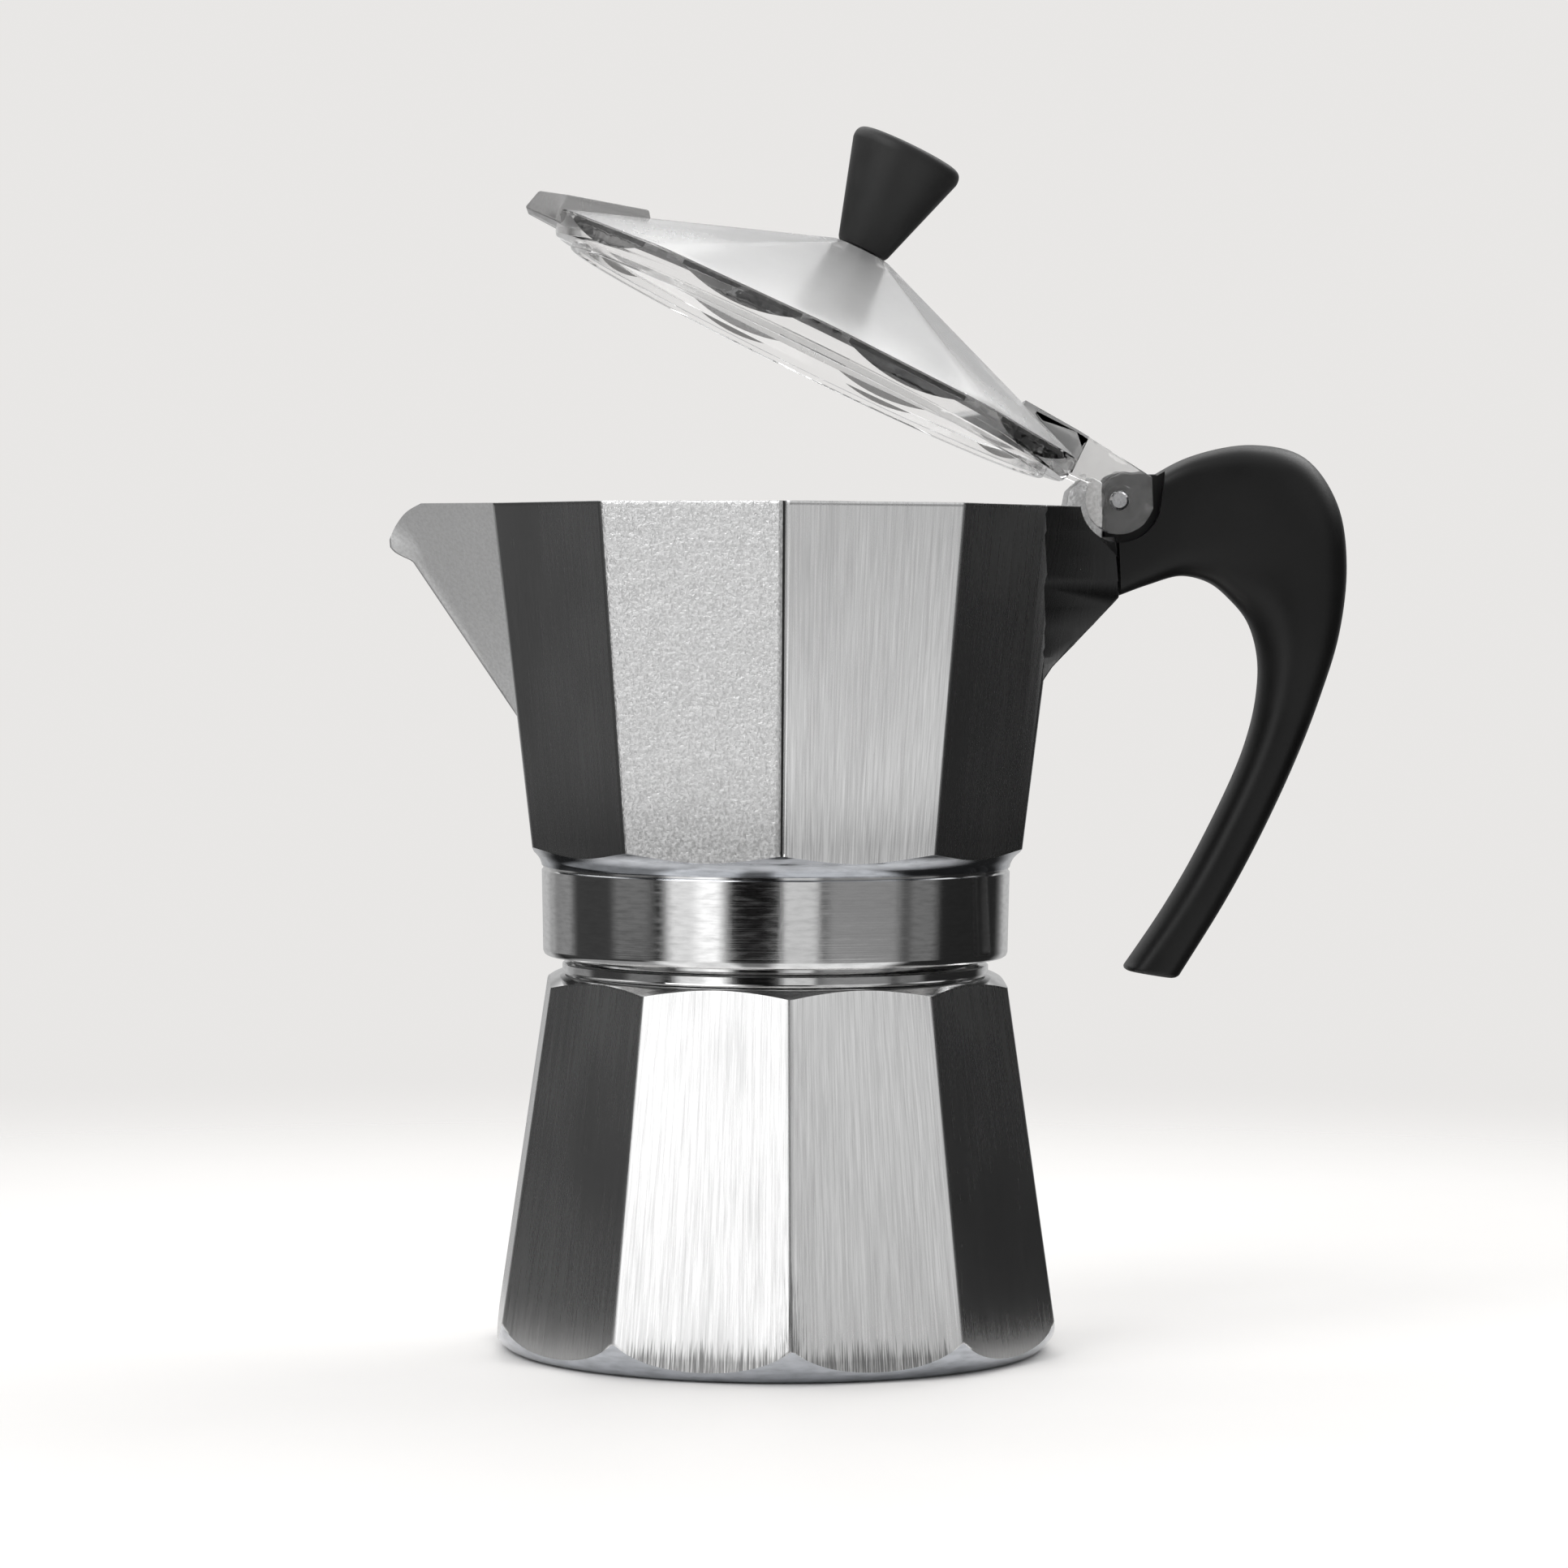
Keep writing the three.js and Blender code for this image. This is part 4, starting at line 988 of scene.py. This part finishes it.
def knob():
    """A cone that is widest near its top, with a spigot for the lid's boss."""
    top = 173.6
    profile = [
        (0, 151), (2.6, 151), (2.8, 151.2), (2.8, 155.6), (4.1, 155.6), (4.4, 156.1),
        *bezier((9.2, top - 2.2), (9.45, top - 0.1), (7.6, top), 10), (4, top + 0.12), (0, top + 0.18),
    ]
    body = turned("knob_moulded", profile, 96, KNOB_NYLON)
    screw_room = [(0, 150), (1.75, 150), (1.75, 156.25)]
    insert_room = [(2.7, 156.25), (2.7, 161.35), (0, 161.35)]
    return opened(smooth(cut(body, turned("knob_bore", screw_room + insert_room, 32))))


# ---- The object ----

PIECES = [
    (boiler, "boiler", "boiler", "cast_aluminium"),
    (upper_chamber, "upper_chamber", "upper", "cast_aluminium"),
    (handle, "handle", "upper", "black_nylon"),
    (lid, "lid", "lid", "clear_plastic"),
    (knob, "knob", "lid", "black_nylon"),
]
for build, node, body, slot in PIECES:
    piece = build()
    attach(piece, body)
    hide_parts(node)

# CAD nodes that keep their own shape
CARRIED = [
    (SHEET, ["funnel", "funnel_stem", "funnel_sieve", "filter_plate"]),
    (STEEL, ["hinge_pin", "valve_plunger", "valve_spring", "knob_screw", "knob_washer"]),
    (BRASS, ["valve_body", "valve_cap", "knob_insert"]),
    (SILICONE, ["gasket"]),
    (FIBRE, ["valve_washer"]),
]
for material, nodes in CARRIED:
    for node in nodes:
        for material_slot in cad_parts[node].material_slots:
            material_slot.material = material


# ---- Floor, studio and camera ----


def floor_material():
    """Pale and mottled, fading into the background with the distance, and sooner where metal mirrors it."""
    f = Finish("floor", Roughness=0.55, Specular_IOR_Level=0.3)
    mottle = f.noise(f.place, scale=9, detail=3)
    tint = f.blend(f.remap(mottle, 0.3, 0.7, 0, 1), grey(0.84, 0.012), grey(0.87, 0.012))
    f.done(tint, normal=f.bump(f.noise(f.place, scale=900), 0.02))
    distance = f.node("ShaderNodeVectorMath", operation="LENGTH")
    f.put(f.place, distance.inputs[0])
    metres = distance.outputs["Value"]
    share = f.node("ShaderNodeMix", data_type="FLOAT")
    f.put(f.node("ShaderNodeLightPath").outputs["Is Glossy Ray"], share.inputs["Factor"])
    f.put(f.fade(metres, 0.14, 0.5), share.inputs["A"])
    f.put(f.fade(metres, 0.055, 0.13), share.inputs["B"])
    mix = f.node("ShaderNodeMixShader")
    f.put(share.outputs["Result"], mix.inputs[0])
    f.put(f.shader.outputs[0], mix.inputs[1])
    f.put(f.node("ShaderNodeBsdfTransparent").outputs[0], mix.inputs[2])
    f.put(mix.outputs[0], f.tree.nodes["Material Output"].inputs["Surface"])
    return f.material


def floor():
    steps = 96
    points = [around(2 * math.pi * i / steps, r, -0.05) for r in (1, 200, 520) for i in range(steps)]
    faces = []
    for first in (0, steps):
        for i in range(steps):
            a, b = first + i, first + (i + 1) % steps
            faces.append((a, b, b + steps, a + steps))
    faces.append(tuple(range(steps)))
    new_object("floor", points, faces, [floor_material()] * len(faces))


# The glowing panels that the metal mirrors: level, degrees round from -Y and half the width, the sines of the
# lower and the upper edge, and how soft the sides are in degrees.
PANELS = [
    (0.85, 0, 63, -0.9, -0.185, 8),  # pale floor in front
    (0.3, -95, 42, -0.95, -0.36, 8),  # dimmer floor on the left
    (0.85, -41, 15, -0.18, 0.09, 5),  # foot of the left soft box
    (0.4, -34, 6, -0.18, 0.06, 4),  # bright streak in it
    (1.6, -34, 22, 0.08, 0.6, 6),  # left soft box
    (0.62, 11, 9, -0.18, 0.4, 3),  # strip in front
    (0.74, 44, 22, 0.08, 0.6, 5),  # right soft box
    (0.24, 43, 20, -0.18, 0.08, 5),  # foot of it
    (0.16, 76, 9, -0.17, 0.06, 4),  # low strips beside and behind the pot
    (0.13, -76, 12, -0.15, 0, 4),
    (0.22, -133, 13, -0.15, 0, 5),
    (0.03, -98, 34, -0.3, 0.25, 8),
]
DARKEST = 0.02
BACKGROUND = grey(0.8, 0.012)


def studio():
    """The room that the metal mirrors: soft boxes in front, dark cards at the sides and a light wall behind.

    The camera, and rays that come level through the clear lid, see the plain background instead.
    """
    world = bpy.data.worlds.new("studio")
    bpy.context.scene.world = world
    world.use_nodes = True
    f = Nodes(world.node_tree)
    azimuth, height = f.angle_and_height(f.node("ShaderNodeTexCoord").outputs["Generated"])

    def window(value, middle, half, soft):
        """1 within half of the middle and 0 beyond, over a soft edge."""
        off_middle = f.math("ABSOLUTE", f.minus(value, middle))
        return f.fade(off_middle, half + soft, max(half - soft, 0))

    def sector(middle, half, soft):
        """The same round the pot, in degrees."""
        return window(azimuth, math.radians(middle), math.radians(half), math.radians(soft))

    def panel(level, middle, half, low, high, soft):
        rise = window(height, (low + high) / 2, (high - low) / 2, 0.02)
        return f.times(f.times(sector(middle, half, soft), rise), level)

    def except_in(part):
        return f.minus(1.0, part)

    low_wall = f.times(except_in(sector(0, 146, 10)), window(height, 0, 0.3, 0.1))
    high_wall = f.times(except_in(sector(0, 85, 15)), window(height, 0.62, 0.26, 0.1))
    ceiling = window(height, 1, 0.3, 0.15)
    total = DARKEST
    for part, level in ((low_wall, 0.5), (high_wall, 1.25), (ceiling, 0.8)):
        total = f.plus(f.times(part, level), total)
    for sizes in PANELS:
        total = f.plus(panel(*sizes), total)
    dark_card = f.times(sector(-12, 9, 4), 0.8)
    total = f.times(total, except_in(dark_card))
    path = f.node("ShaderNodeLightPath")
    through_lid = f.times(path.outputs["Is Transmission Ray"], window(height, 0, 0.6, 0.25))
    plain = f.math("MAXIMUM", path.outputs["Is Camera Ray"], through_lid)
    f.put(f.blend(plain, total, BACKGROUND), f.tree.nodes["Background"].inputs["Color"])


def soft_box(name, place, size, power):
    """An area light that faces the pot."""
    light = bpy.data.lights.new(name, "AREA")
    light.shape = "RECTANGLE"
    light.size, light.size_y = size
    light.energy = power
    lamp = bpy.data.objects.new(name, light)
    bpy.context.scene.collection.objects.link(lamp)
    lamp.location = place
    lamp.rotation_euler = (Vector((0, 0, 0.1)) - Vector(place)).to_track_quat("-Z", "Y").to_euler()
    lamp.visible_camera = False


def camera():
    """A long lens level with the middle of the pot, a little to the left and looking slightly down."""
    turn, tilt, roll = 0.0232, -0.0342, 0.0049
    forward = Vector((math.sin(turn) * math.cos(tilt), math.cos(turn) * math.cos(tilt), math.sin(tilt)))
    data = bpy.data.cameras.new("camera")
    data.lens = 122.96
    data.sensor_width = 36
    data.clip_start = 0.01
    obj = bpy.data.objects.new("camera", data)
    bpy.context.scene.collection.objects.link(obj)
    obj.location = Vector((-18.8, -864.8, 120.7)) * MM
    obj.rotation_mode = "QUATERNION"
    obj.rotation_quaternion = forward.to_track_quat("-Z", "Y") @ Quaternion((0, 0, 1), roll)
    bpy.context.scene.camera = obj


floor()
studio()
soft_box("key", (-0.75, -0.7, 1.1), (0.9, 0.9), 8)
soft_box("rim", (0.7, 0.6, 0.95), (0.8, 0.8), 4)
camera()
bpy.context.scene.view_settings.view_transform = "Standard"
